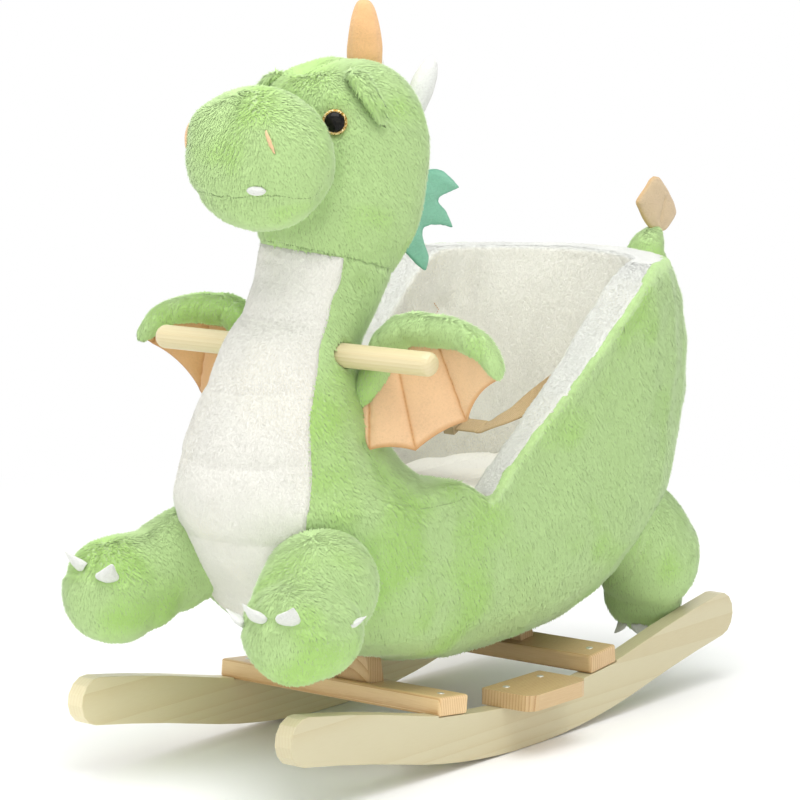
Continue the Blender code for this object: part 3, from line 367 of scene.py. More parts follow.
@cache
def finish_of(name):
    """Material that several pieces share, made on first use."""
    plush = bpy.context.scene.dragon_plush
    green, cream = tuple(plush.green), tuple(plush.cream)
    make, *values = {
        # The ground and the roots are a little darker than the tips: painted shade deep in the
        # pile.
        "green plush ground": (plush_ground, shade(green, 0.93)),
        "green pile": (pile_finish, shade(green, 0.92), green, (0.86, 0.96, 0.68)),
        "cream plush ground": (plush_ground, shade(cream, 0.97), 0.4, shade_on_upward_faces),
        "cream pile": (pile_finish, shade(cream, 0.99), cream, DEEP_CREAM, shade_on_upward_faces),
        # The belly finishes are a darker copy of the cream, for the belly and the cushion: painted
        # shade for parts that take more light than the lining inside the seat.
        "belly plush ground": (plush_ground, shade(cream, 0.965), 0.4, light_at_belly_ends),
        "belly pile": (pile_finish, shade(cream, 0.955), shade(cream, 0.985), DEEP_CREAM,
                       light_at_belly_ends),
        "crown felt": (felt_finish, (0.82, 0.49, 0.235)),
        # The tail tip's felt is greyer and darker than the peach: partly its own tone, partly
        # painted shade for its upward face.
        "tail felt": (felt_finish, (0.62, 0.475, 0.30), (0.62, 0.36, 0.13)),
        "peach felt": (felt_finish, tuple(plush.peach), (0.66, 0.33, 0.12)),
        # A darker copy of the peach felt for the far wing: painted shade for the side turned from
        # the light.
        "deep peach felt": (felt_finish, (0.66, 0.385, 0.165), (0.56, 0.27, 0.09)),
        "teal felt": (felt_finish, tuple(plush.teal), (0.08, 0.32, 0.21)),
        "white felt": (felt_finish, tuple(plush.white)),
        "thread": (felt_finish, (0.62, 0.33, 0.13)),
        # Dark green of the seam lines: painted shade in the seams' creases.
        "green thread": (felt_finish, shade(green, 0.66)),
    }[name]
    return make(name, *values)


# Meshes

def link(name, mesh, *materials):
    piece = bpy.data.objects.new(name, mesh)
    bpy.context.scene.collection.objects.link(piece)
    for material in materials:
        mesh.materials.append(material)
    return piece


def to_mesh(name, bm, smooth=True):
    mesh = bpy.data.meshes.new(name)
    bm.to_mesh(mesh)
    bm.free()
    if smooth:
        mesh.shade_smooth()
    return mesh


def evaluated(piece):
    """New mesh of a piece as its modifiers leave it."""
    bpy.context.view_layer.update()
    graph = bpy.context.evaluated_depsgraph_get()
    return bpy.data.meshes.new_from_object(piece.evaluated_get(graph))


def settle(piece):
    """Replace a piece's mesh by its evaluated one and drop its modifiers."""
    mesh, old = evaluated(piece), piece.data
    piece.modifiers.clear()
    piece.data = mesh
    bpy.data.meshes.remove(old)
    return piece


def coords(mesh):
    co = np.empty(len(mesh.vertices) * 3)
    mesh.vertices.foreach_get("co", co)
    return co.reshape(-1, 3)


def normals(mesh):
    values = np.empty(len(mesh.vertices) * 3)
    mesh.vertex_normals.foreach_get("vector", values)
    return values.reshape(-1, 3)


def set_coords(mesh, co):
    mesh.vertices.foreach_set("co", np.ascontiguousarray(co, dtype=np.float32).ravel())
    mesh.update()


def push(mesh, amount):
    """Move every point along its normal, by an amount in millimetres."""
    set_coords(mesh, coords(mesh) + normals(mesh) * (amount * MM)[:, None])


def store(mesh, name, values, kind="FLOAT", key="value"):
    """Write an attribute of every point."""
    mesh.attributes.new(name, kind, "POINT").data.foreach_set(
        key, np.ascontiguousarray(values, np.float32).ravel())


def relax(mesh, rounds):
    """Smooth without shrinking: a step in and a slightly larger step out each round."""
    co = coords(mesh)
    count = len(co)
    edges = np.empty(len(mesh.edges) * 2, np.int32)
    mesh.edges.foreach_get("vertices", edges)
    a, b = edges.reshape(-1, 2).T
    degree = np.bincount(a, minlength=count) + np.bincount(b, minlength=count)
    for _ in range(rounds):
        for step in (0.5, -0.52):
            total = np.stack([np.bincount(a, co[b, k], count) + np.bincount(b, co[a, k], count)
                              for k in range(3)], axis=1)
            co = co + (total / degree[:, None] - co) * step
    set_coords(mesh, co)


def soften(mesh, rounds):
    """Round off tips and corners."""
    bm = bmesh.new()
    bm.from_mesh(mesh)
    for _ in range(rounds):
        bmesh.ops.smooth_vert(bm, verts=bm.verts, factor=0.5, use_axis_x=False,
                              use_axis_y=True, use_axis_z=True)
    bm.to_mesh(mesh)
    bm.free()


def node_copy(*names):
    """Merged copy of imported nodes, each a closed mesh."""
    bm = bmesh.new()
    for name in names:
        bm.from_mesh(NODES[name].data)
    bmesh.ops.remove_doubles(bm, verts=bm.verts, dist=0.00002)
    return bm


def even_skin(piece, voxel):
    """One even skin over everything in a piece's mesh. The voxels are in millimetres."""
    modifier = piece.modifiers.new("even skin", "REMESH")
    modifier.mode = "VOXEL"
    modifier.voxel_size = voxel * MM
    modifier.use_smooth_shade = True
    settle(piece)


def remeshed(name, bm, voxel, rounds):
    piece = link(name, to_mesh(name, bm))
    even_skin(piece, voxel)
    relax(piece.data, rounds)
    return piece


def catmull(points, position):
    last = len(points) - 1
    index = min(int(position), last - 1)
    t = position - index
    p0, p1 = points[max(index - 1, 0)], points[index]
    p2, p3 = points[index + 1], points[min(index + 2, last)]
    return 0.5 * (2 * p1 + (p2 - p0) * t + (2 * p0 - 5 * p1 + 4 * p2 - p3) * t ** 2
                  + (3 * p1 - p0 - 3 * p2 + p3) * t ** 3)


def path_points(points, steps):
    """Smooth line through points in millimetres, as an array in metres."""
    values = [np.array(point, float) * MM for point in points]
    if steps < 2 or len(values) < 3:
        return np.array(values)
    return np.array([catmull(values, k / steps)
                     for k in range((len(values) - 1) * steps + 1)])


def line_distance(co, path):
    """Distance of every point from a polyline."""
    best = np.full(len(co), 1e9)
    for a, b in zip(path[:-1], path[1:]):
        along = b - a
        t = np.clip(((co - a) @ along) / max(along @ along, 1e-12), 0, 1)
        best = np.minimum(best, np.linalg.norm(co - a - t[:, None] * along, axis=1))
    return best


def groove(mesh, points, width, depth):
    """Press a soft channel along a line, in millimetres. A negative depth raises it."""
    away = line_distance(coords(mesh), path_points(points, 6))
    push(mesh, np.exp(-(away / (width * MM)) ** 2) * -depth)


def swell(mesh, centre, radius, height):
    """Soft mound (or dent) round a point, in millimetres."""
    away = np.linalg.norm(coords(mesh) - np.array(centre) * MM, axis=1)
    push(mesh, np.exp(-(away / (radius * MM)) ** 2) * height)


def crease_between(mesh, first, second, width, depth):
    """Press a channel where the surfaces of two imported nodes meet."""
    trees = [node_tree(first), node_tree(second)]
    away = np.array([sum(tree.find_nearest(Vector(point))[3] for tree in trees)
                     for point in coords(mesh)])
    push(mesh, np.exp(-(away / (width * MM)) ** 2) * -depth)


def ripple(mesh, scale, height, seed=0.0, still=None):
    """Uneven stuffing: slow swells of a hand's breadth or less, none beside a still node."""
    co = coords(mesh)
    shift = Vector((seed, -seed, seed * 0.5))
    amount = np.array([noise.noise(Vector(point) * scale + shift) for point in co])
    if still:
        tree = node_tree(still)
        amount *= np.array([min(1.0, tree.find_nearest(Vector(point))[3] / (30 * MM))
                            for point in co])
    push(mesh, amount * height)


def mirror(points, side):
    return [(side * point[0], *point[1:]) for point in points]


def node_tree(*names):
    verts, faces = [], []
    for name in names:
        mesh = NODES[name].data
        base = len(verts)
        verts += [vert.co for vert in mesh.vertices]
        faces += [[base + index for index in face.vertices] for face in mesh.polygons]
    return BVHTree.FromPolygons(verts, faces)


def mark_pile(mesh, others, reach, own_reach=0.025, bare=(), beside=0.0):
    """Write how thickly the pile grows: none where another piece lies on the cloth.

    A distance beside the neck seam clears the pile there, and along the seat's rim.
    """
    co, nor = coords(mesh), normals(mesh)
    around = node_tree(*others) if others else None
    bm = bmesh.new()
    bm.from_mesh(mesh)
    itself = BVHTree.FromBMesh(bm)
    bm.free()
    share = np.ones(len(co))
    for k, (point, normal) in enumerate(zip(co, nor)):
        start, way = Vector(point), Vector(normal)
        if around:
            near = around.ray_cast(start, way, reach)[3]
            if near is not None or around.find_nearest(start, 1.5 * MM)[0] is not None:
                share[k] = 0.0
                continue
        if itself.ray_cast(start + way * 0.002, way, own_reach)[0] is not None:
            share[k] = 0.0
    for *centre, radius in bare:
        share[np.linalg.norm(co - np.array(centre) * MM, axis=1) < radius * MM] = 0.0
    if beside:
        along, neck = at_neck(co)
        share[neck & (np.abs(along) < beside * MM)] = 0.0
        rim = node_tree("seat_lining")
        share[[rim.find_nearest(Vector(point), 4.2 * MM)[0] is not None
               for point in co]] = 0.0
    store(mesh, "pile", share)


def limb(name, points, steps, sides, flat=(1.0, 1.0), first=(1, 0, 0), *, materials=()):
    """Round or flattened limb along (x, y, z, radius) points in millimetres."""
    rows = [np.array(point, float) for point in points]
    last = len(rows) - 1
    side = Vector(first)
    bm = bmesh.new()
    rings = []
    for k in range(last * steps + 1):
        here = k / steps
        ahead = catmull(rows, min(here + 0.05, last))
        behind = catmull(rows, max(here - 0.05, 0))
        along = Vector((ahead - behind)[:3]).normalized()
        side = (side - along * side.dot(along)).normalized()
        up = along.cross(side)
        x, y, z, radius = catmull(rows, here)
        centre = Vector((x, y, z))
        rings.append([bm.verts.new((centre + (side * math.cos(a) * flat[0]
                                              + up * math.sin(a) * flat[1]) * radius) * MM)
                      for a in (2 * math.pi * i / sides for i in range(sides))])
    for low, high in zip(rings, rings[1:]):
        for i in range(sides):
            j = (i + 1) % sides
            bm.faces.new((low[i], low[j], high[j], high[i]))
    bm.faces.new(rings[0][::-1])
    bm.faces.new(rings[-1])
    bmesh.ops.recalc_face_normals(bm, faces=bm.faces)
    return bm if not materials else link(name, to_mesh(name, bm), *materials)


def add_ball(bm, centre, radius, stretch=(1, 1, 1)):
    ball = bmesh.ops.create_uvsphere(bm, u_segments=32, v_segments=20, radius=radius * MM)
    bmesh.ops.scale(bm, vec=stretch, verts=ball["verts"])
    bmesh.ops.translate(bm, vec=Vector(centre) * MM, verts=ball["verts"])


def quilt(bm, front, back):
    """Faces over two grids of points and round their common edge."""
    last, end = len(front) - 1, len(front[0]) - 1
    for layer in (front, back):
        for j in range(last):
            for i in range(end):
                bm.faces.new((layer[j][i], layer[j][i + 1], layer[j + 1][i + 1],
                              layer[j + 1][i]))
    rim = ([(0, i) for i in range(end)] + [(j, end) for j in range(last)]
           + [(last, i) for i in range(end, 0, -1)] + [(j, 0) for j in range(last, 0, -1)])
    for (j, i), (m, k) in zip(rim, rim[1:] + rim[:1]):
        bm.faces.new((front[j][i], front[m][k], back[m][k], back[j][i]))
    bmesh.ops.recalc_face_normals(bm, faces=bm.faces)


def lathe(profile, sides, turn=Matrix(), second=0):
    """Shape round Z through (radius, height) rows. The first faces have another material."""
    bm = bmesh.new()
    rings = [[bm.verts.new(turn @ Vector((radius * math.cos(a), radius * math.sin(a), height)))
              for a in (2 * math.pi * i / sides for i in range(sides if radius else 1))]
             for radius, height in profile]
    for index, (low, high) in enumerate(zip(rings, rings[1:])):
        for i in range(sides):
            j = (i + 1) % sides
            corners = (low[i % len(low)], low[j % len(low)], high[j % len(high)],
                       high[i % len(high)])
            face = bm.faces.new(list(dict.fromkeys(corners)))
            face.material_index = int(index < second)
    bmesh.ops.recalc_face_normals(bm, faces=bm.faces)
    return bm


def join_mesh(bm, other):
    mesh = to_mesh("part", other, smooth=False)
    bm.from_mesh(mesh)
    bpy.data.meshes.remove(mesh)


# Pile, stitches and screws: Geometry Nodes

def open_group(name, sockets):
    """New node group. Returns it, its tree and the wires of its inputs."""
    group = bpy.data.node_groups.new(name, "GeometryNodeTree")
    for way in ("OUTPUT", "INPUT"):
        group.interface.new_socket("Geometry", in_out=way, socket_type="NodeSocketGeometry")
    for label, (kind, value) in sockets.items():
        socket = group.interface.new_socket(label, in_out="INPUT",
                                            socket_type=f"NodeSocket{kind}")
        if value is not None:
            socket.default_value = value
    tree = Tree(group)
    entry = group.nodes.new("NodeGroupInput")
    return group, tree, {socket.name: Wire(tree, socket) for socket in entry.outputs
                         if socket.name}


def close_group(tree, given, points, instance, turn, size, smooth=False):
    """Set a shape on every point, as real geometry in the group's material."""
    made = tree.add("GeometryNodeInstanceOnPoints", {}, {
        "Points": points, "Instance": instance, "Rotation": turn,
        "Scale": tree.add("ShaderNodeCombineXYZ", {}, dict(enumerate(size)))})
    made = tree.add("GeometryNodeRealizeInstances", {}, {"Geometry": made})
    if smooth:
        made = tree.add("GeometryNodeSetShadeSmooth", {}, {"Geometry": made})
    made = tree.add("GeometryNodeSetMaterial", {}, {"Geometry": made,
                                                    "Material": given["Material"]})
    tree.add("NodeGroupOutput", {}, {0: made})


def run_group(name, source, group, values):
    """Run a node group on a copy of a mesh or curve and keep the plain mesh it makes."""
    holder = link(name, source)
    modifier = holder.modifiers.new(group.name, "NODES")
    modifier.node_group = group
    for item in group.interface.items_tree:
        if item.item_type == "SOCKET" and item.in_out == "INPUT" and item.name in values:
            modifier[item.identifier] = values[item.name]
    mesh = evaluated(holder)
    bpy.data.objects.remove(holder)
    return link(name, mesh)


@cache
def pile_group():
    """Tufts of pile that lean with the nap, one thin blade each."""
    group, tree, given = open_group("plush pile", {
        "Tufts per Square Metre": ("Float", 120000.0), "Length": ("Float", 0.008),
        "Width": ("Float", 0.0014), "Lean": ("Float", 1.3), "Untidiness": ("Float", 0.5),
        "Nap": ("Vector", (0.0, 0.3, -1.0)), "Seed": ("Int", 3), "Blade": ("Object", None),
        "Material": ("Material", None)})
    nap, seed = given["Nap"], given["Seed"]
    thick = tree.add("GeometryNodeInputNamedAttribute", {"data_type": "FLOAT"}, {0: "pile"})
    points = tree.add("GeometryNodeDistributePointsOnFaces", {}, {
        "Mesh": given["Geometry"], "Density": given["Tufts per Square Metre"] * thick,
        "Seed": seed}, "Points")
    normal = points.other("Normal")

    def chance(low, high, offset, kind="FLOAT"):
        pins = {"FLOAT": (2, 3, 1), "FLOAT_VECTOR": (0, 1, 0)}[kind]
        return tree.add("FunctionNodeRandomValue", {"data_type": kind},
                        {pins[0]: low, pins[1]: high, "Seed": seed + offset}, pins[2])

    lift = tree.vector("DOT_PRODUCT", nap, normal, output=1)
    comb = tree.vector("NORMALIZE", tree.vector("SUBTRACT", nap, tree.scaled(normal, lift)))
    stray = tree.scaled(chance((-1.0,) * 3, (1.0,) * 3, 1, "FLOAT_VECTOR"),
                        given["Untidiness"])
    way = tree.vector("ADD", tree.vector("ADD", normal, tree.scaled(comb, given["Lean"])),
                      stray)
    turn = tree.add("FunctionNodeAxesToRotation", {"primary_axis": "Z", "secondary_axis": "Y"},
                    {0: way, 1: normal})
    for label, kind, value in (("chance", "FLOAT", chance(0.0, 1.0, 3)),
                               ("nap", "FLOAT_VECTOR", normal)):
        points = tree.add("GeometryNodeStoreNamedAttribute",
                          {"data_type": kind, "domain": "POINT"},
                          {"Geometry": points, "Name": label, "Value": value})
    blade = tree.add("GeometryNodeObjectInfo", {}, {"Object": given["Blade"]}, "Geometry")
    wide = given["Width"] * chance(0.75, 1.3, 4)
    long = given["Length"] * chance(0.6, 1.25, 5)
    close_group(tree, given, points, blade, turn, (wide, wide, long))
    return group


@cache
def stitch_group():
    """Short rounded thread stitches set along a curve."""
    group, tree, given = open_group("thread stitches", {
        "Pitch": ("Float", 0.005), "Stitch Length": ("Float", 0.0034),
        "Thread": ("Float", 0.0005), "Material": ("Material", None)})
    spots = tree.add("GeometryNodeCurveToPoints", {"mode": "LENGTH"},
                     {"Curve": given["Geometry"], "Length": given["Pitch"]}, "Points")
    along = tree.add("FunctionNodeAlignRotationToVector", {"axis": "Z"},
                     {"Vector": spots.other("Tangent")})
    thread = tree.add("GeometryNodeMeshUVSphere", {}, {"Segments": 6, "Rings": 5, "Radius": 1.0})
    size = given["Thread"], given["Thread"], given["Stitch Length"] * 0.5
    close_group(tree, given, spots, thread, along, size, smooth=True)
    return group


@cache
def screw_group():
    """A countersunk cross-head screw at every vertex, square to the vertex normal."""
    group, tree, given = open_group("wood screws", {
        "Head Diameter": ("Float", 0.008), "Screw Head": ("Object", None),
        "Material": ("Material", None)})
    head = tree.add("GeometryNodeObjectInfo", {}, {"Object": given["Screw Head"]}, "Geometry")
    up = tree.add("GeometryNodeInputNamedAttribute", {"data_type": "FLOAT_VECTOR"}, {0: "up"})
    turn = tree.add("FunctionNodeAlignRotationToVector", {"axis": "Z"}, {"Vector": up})
    close_group(tree, given, given["Geometry"], head, turn, (given["Head Diameter"],) * 3)
    return group


@cache
def pile_blade():
    """One tuft, a unit wide at its root and a unit long."""
    mesh = bpy.data.meshes.new("pile blade")
    mesh.from_pydata([(-1, 0, 0), (1, 0, 0), (0, 0, 1)], [], [(0, 1, 2)])
    store(mesh, "tip", (0.0, 0.0, 1.0))
    return bpy.data.objects.new("pile blade", mesh)


CREAM_WIDTH, LEAN = 0.0005, 3.0


def stitch(name, path, pitch, length, thread):
    """Row of stitches along each line of a path."""
    curve = bpy.data.curves.new(name, "CURVE")
    curve.dimensions = "3D"
    for row in path:
        spline = curve.splines.new("POLY")
        spline.points.add(len(row) - 1)
        for point, place_at in zip(spline.points, row):
            point.co = (*place_at, 1.0)
    piece = run_group(name, curve, stitch_group(), {
        "Pitch": pitch * MM, "Stitch Length": length * MM, "Thread": thread * MM,
        "Material": finish_of("thread")})
    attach(piece, BODY)
    return piece


def stuffed(piece, slot, fill, *nodes):
    """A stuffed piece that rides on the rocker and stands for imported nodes."""
    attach(piece, BODY)
    if nodes:
        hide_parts(*nodes)


def dress(skin, cloth, fill, nodes, others, reach, seed, *, length=1.0, thick=1.0,
          nap=(0, 0.3, -1), untidy=0.6, **marks):
    """Sew a skin of plush: its ground, and its pile as a piece of its own."""
    plush = bpy.context.scene.dragon_plush
    green = cloth == "green"
    slot = "green_plush" if green else "cream_plush"
    skin.data.materials.append(finish_of(f"{cloth} plush ground"))
    mark_pile(skin.data, others, reach, **marks)
    stuffed(skin, slot, fill, *nodes)
    pile = run_group(f"{skin.name}_pile", skin.data, pile_group(), {
        "Tufts per Square Metre": plush.tufts * thick,
        "Length": (plush.pile_length if green else plush.cream_pile) * length,
        "Width": plush.tuft_width if green else CREAM_WIDTH, "Lean": LEAN,
        "Untidiness": untidy, "Nap": nap, "Seed": plush.seed + seed,
        "Blade": pile_blade(), "Material": finish_of(f"{cloth} pile")})
    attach(pile, BODY)


# Body, head and limbs

SHOULDER_SEAM = ((84, -190, 306), (88, -184, 296), (97, -177, 276), (109, -169, 257),
                 (117, -150, 245), (124, -116, 246), (128, -90, 248))
BACK_SEAM = ((0, 352, 424), (0, 358, 380), (0, 358, 300), (0, 346, 240), (0, 332, 200),
             (0, 300, 155), (0, 262, 118), (0, 190, 92))
UNDER_SEAM = ((0, -250, 150), (0, -200, 116), (0, -150, 100))
SEAM_POINT, SEAM_SLOPE = Vector((0, -195, 477.5)) * MM, Vector((0.08, 0.27, 1))
SEAM_NORMAL = SEAM_SLOPE.normalized()


def at_neck(co):
    """Height over the neck seam in metres, and whether a point belongs to neck or head."""
    along = (co - np.array(SEAM_POINT)) @ np.array(SEAM_NORMAL)
    return along, (co[..., 1] < -0.01) & (co[..., 2] > 0.35)


def seam_height(x, y):
    """Height of the neck seam over a point, in millimetres."""
    at = SEAM_POINT / MM
    return at.z - SEAM_SLOPE.x * x - SEAM_SLOPE.y * (y - at.y)


def cut_at_neck(name, whole, upper):
    """One side of the neck seam, with its seam allowance turned in along the cut."""
    bm = bmesh.new()
    bm.from_mesh(whole)
    near = [face for face in bm.faces if at_neck(np.array(face.calc_center_median()))[1]]
    rim = list(dict.fromkeys(part for face in near for part in (*face.verts, *face.edges)))
    bmesh.ops.bisect_plane(bm, geom=near + rim, dist=1e-6, plane_co=SEAM_POINT,
                           plane_no=SEAM_NORMAL)
    away = []
    for face in bm.faces:
        along, neck = at_neck(np.array(face.calc_center_median()))
        if (neck and along > 0) != upper:
            away.append(face)
    bmesh.ops.delete(bm, geom=away, context="FACES")
    made = bmesh.ops.extrude_edge_only(
        bm, edges=[edge for edge in bm.edges if edge.is_boundary])["geom"]
    turned = [part for part in made if isinstance(part, bmesh.types.BMVert)]
    centre = sum((vert.co for vert in turned), Vector()) / len(turned)
    for vert in turned:
        vert.co = vert.co.lerp(centre, 0.14) + SEAM_NORMAL * (1.5 if upper else -1.5) * MM
    bmesh.ops.contextual_create(
        bm, geom=[part for part in made if isinstance(part, bmesh.types.BMEdge)])
    bmesh.ops.recalc_face_normals(bm, faces=bm.faces)
    return link(name, to_mesh(name, bm))


def rim_roll(bm, radius, inward, down):
    """Roll of green plush over the outer edge of the seat's cream rim."""
    lining = node_copy("seat_lining")
    for edge in lining.edges:
        if len(edge.link_faces) != 2:
            continue
        top, flank = sorted((face.normal for face in edge.link_faces), key=lambda n: -n.z)
        middle = (edge.verts[0].co + edge.verts[1].co) / 2
        away = Vector((middle.x, middle.y - min(max(middle.y, -0.04), 0.12), 0)).normalized()
        if top.z > 0.3 and abs(flank.z) < 0.5 and flank.dot(away) > 0.3 and middle.z > 0.235:
            shift = (away * -inward - top * down) * MM
            join_mesh(bm, limb("roll", [(*((vert.co + shift) / MM), radius)
                                        for vert in edge.verts], 1, 10))
    lining.free()


def skin_tree(piece):
    return BVHTree.FromPolygons([vert.co for vert in piece.data.vertices],
                                [list(face.vertices) for face in piece.data.polygons])


def seam_lines(name, piece, paths, radius=0.5, lift=0.6):
    """Sewn joints of the cloth, each a line sunk between the tufts, dark as painted shade in the
    seam's crease.
    """
    tree = skin_tree(piece)
    bm = bmesh.new()
    for path in paths:
        rows = []
        for point in path_points(path, 6):
            spot, normal = tree.find_nearest(Vector(point))[:2]
            rows.append((*((spot + normal * lift * MM) / MM), radius))
        join_mesh(bm, limb("seam", rows, 1, 6))
    line = link(name, to_mesh(name, bm), finish_of("green thread"))
    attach(line, BODY)


def make_body():
    """One skin for all, cut in two at the neck seam. Returns the body's and the head's."""
    names = ("torso", "neck", "seat_shell")
    bm = node_copy(*names, "head", "muzzle")
    add_ball(bm, (0, -132, 466), 64, (0.93, 1.08, 0.55))
    rim_roll(bm, 4.8, 0.4, 3.0)
    whole = remeshed("plush_whole", bm, 4.7, 22)
    mesh = whole.data
    ripple(mesh, 13.0, 2.4, still="seat_lining")
    ripple(mesh, 34.0, 1.2, 4.0, still="seat_lining")
    along, neck = at_neck(coords(mesh))
    push(mesh, np.exp(-(along / (4 * MM)) ** 2) * neck * -0.7)
    head = cut_at_neck("plush_head", mesh, True)
    skin = cut_at_neck("plush_body", mesh, False)
    bpy.data.objects.remove(whole)
    mesh = skin.data
    for _, side in SIDES:
        groove(mesh, mirror(SHOULDER_SEAM, side), 7, 3.5)
        swell(mesh, (side * 99, 158, 105), 66, -13)
        swell(mesh, (side * 98, 215, 130), 42, -9)
    groove(mesh, BACK_SEAM, 5, 2.6)
    groove(mesh, UNDER_SEAM, 5, 2.0)
    rest = [name for name in NODES if name not in (*names, "head", "muzzle")]
    dress(skin, "green", 0.95, names, rest, 0.016, 0, beside=3.0)
    seam_lines("plush_body_seams", skin, [*(mirror(SHOULDER_SEAM, side) for _, side in SIDES),
                                          BACK_SEAM, UNDER_SEAM], 0.35, 0.3)
    return skin, head


FRONT_LEG = ((48, -184, 216, 38), (63, -217, 205, 43), (78, -248, 193, 45),
             (90, -276, 180, 46), (102, -305, 163, 44))
RIGHT_FRONT_LEG = ((48, -184, 214, 38), (63, -217, 203, 42), (78, -248, 191, 43),
                   (87, -276, 175, 40), (102, -305, 163, 44))
THIGH_BALL, FOOT_BALL = ((91, -259, 189), 50), ((104, -312, 160), 45.5)
RIGHT_THIGH_BALL, RIGHT_FOOT_BALL = ((85, -259, 182), 43), ((104, -313, 157), 47.5)
ANKLE_BALLS = (((110, -294, 159), 42), ((92, -292, 161), 41))
REAR_LEG = ((66, 205, 196, 40), (77, 240, 168, 50), (81, 262, 140, 50), (77, 270, 114, 42),
            (74, 270, 100, 38))
REAR_THIGH, REAR_FOOT = ((81, 265, 134), 53), ((73, 272, 95), 39)
LEFT_CLAWS = ((-50, 10, -0.6), (-9, 23, -0.25), (31, 24, 0.45), (121, 6, -0.1))
RIGHT_CLAWS = ((-33, 25, -0.45), (7, 35, 1.1), (98, 12, 0.2))
REAR_CLAWS = ((-38, -56, -0.2), (26, -50, 0.2))
CLAW = ((-3, 9.6), (0, 10.6), (3.5, 10.3), (8, 8.3), (12, 5.8), (16, 3.2), (19, 1.1))
LEGS = {
    ("front", 1): (FRONT_LEG, THIGH_BALL, FOOT_BALL, LEFT_CLAWS),
    ("front", -1): (RIGHT_FRONT_LEG, RIGHT_THIGH_BALL, RIGHT_FOOT_BALL, RIGHT_CLAWS),
    ("rear", 1): (REAR_LEG, REAR_THIGH, REAR_FOOT, REAR_CLAWS),
    ("rear", -1): (REAR_LEG, REAR_THIGH, REAR_FOOT, REAR_CLAWS),
}
RIGHT_FOOT_LIFT = 13.0


def leg_spine(points, side, lift):
    last = len(points) - 1
    return [(side * x, y, z + lift * max(0.0, (k / last - 0.3) / 0.7), radius)
            for k, (x, y, z, radius) in enumerate(points)]


def make_leg(word, side, end):
    front = end == "front"
    lift = RIGHT_FOOT_LIFT if front and side < 0 else 0.0
    spine, thigh, foot, claws = LEGS[end, side]
    bm = limb("leg", leg_spine(spine, side, lift), 5, 28)
    ankle = [(*ball, 0.9) for ball in ANKLE_BALLS] if front else []
    for (x, y, z), radius, share in ((*thigh, 0.4), (*foot, 1.0), *ankle):
        add_ball(bm, (side * x, y, z + lift * share), radius)
    node = f"{word}_{end}_leg"
    skin = remeshed(f"{node}_plush", bm, 3.8, 5)
    mesh = skin.data
    x, y, z = foot[0]
    centre = Vector((side * x, y, z + lift))

    def on_foot(yaw, pitch, reach=1.0):
        turn, rise = math.radians(yaw), math.radians(pitch)
        return Vector((side * math.sin(turn) * math.cos(rise),
                       -math.cos(turn) * math.cos(rise), math.sin(rise))) * reach

    yaws, pitches, _ = zip(*claws)
    seam = [centre + on_foot(yaw, float(np.interp(yaw, yaws, pitches)) - 4, foot[1])
            for yaw in np.linspace(yaws[0] - 12, yaws[-1] + 8, 12)]
    groove(mesh, seam, 4.5, 2.2)
    for a, b in zip(claws[:-1], claws[1:]):
        if b[0] - a[0] < 65:
            middle = (a[0] + b[0]) / 2, (a[1] + b[1]) / 2
            groove(mesh, [centre + on_foot(middle[0], middle[1] + lean, foot[1])
                          for lean in (-8, 0, 26)], 4.5, 2.2)
    ripple(mesh, 24.0, 1.8, 2.0 + side)
    dress(skin, "green", 0.9, [node], ["torso", "neck", "seat_shell", "belly_panel"], 0.012,
          side + 5, length=0.9)
    bm = bmesh.new()
    for yaw, pitch, splay in claws:
        out = on_foot(yaw, pitch)
        across = on_foot(yaw + 90, 0)
        way = (out + across * splay + Vector((0, 0, 0.32 if front else -0.1))).normalized()
        start = centre + out * (foot[1] - 1)
        size = 1.0 if front else 0.8
        rows = [(*(start + way * reach * size + Vector((0, 0, 0.008 * reach ** 2))),
                 radius * size) for reach, radius in CLAW]
        join_mesh(bm, limb("claw", rows, 4, 20, (1.0, 0.42), across))
    claws_piece = link(f"{word}_{end}_claws", to_mesh("claws", bm), finish_of("white felt"))
    ripple(claws_piece.data, 120.0, 0.7, len(claws) - 1)
    stuffed(claws_piece, "white_felt", 0.9)


NOSTRIL = ((39, -269, 584), (44, -271, 575), (49, -270, 565))
MOUTH = ((-60, -222, 529), (-50, -256, 527), (-30, -273, 525), (-11, -279, 524), (11, -279, 524),
         (32, -273, 526), (50, -257, 528), (60, -222, 530))
CROWN_SEAM = ((0, -170, 640), (0, -130, 646), (0, -80, 640), (0, -46, 600), (0, -38, 550),
              (0, -46, 500))
NECK_SEAM = ((50, -172), (57, -150), (59, -128), (54, -104), (40, -84), (20, -72), (0, -68))
EYE_SPOT = (41, -177.6, 587)


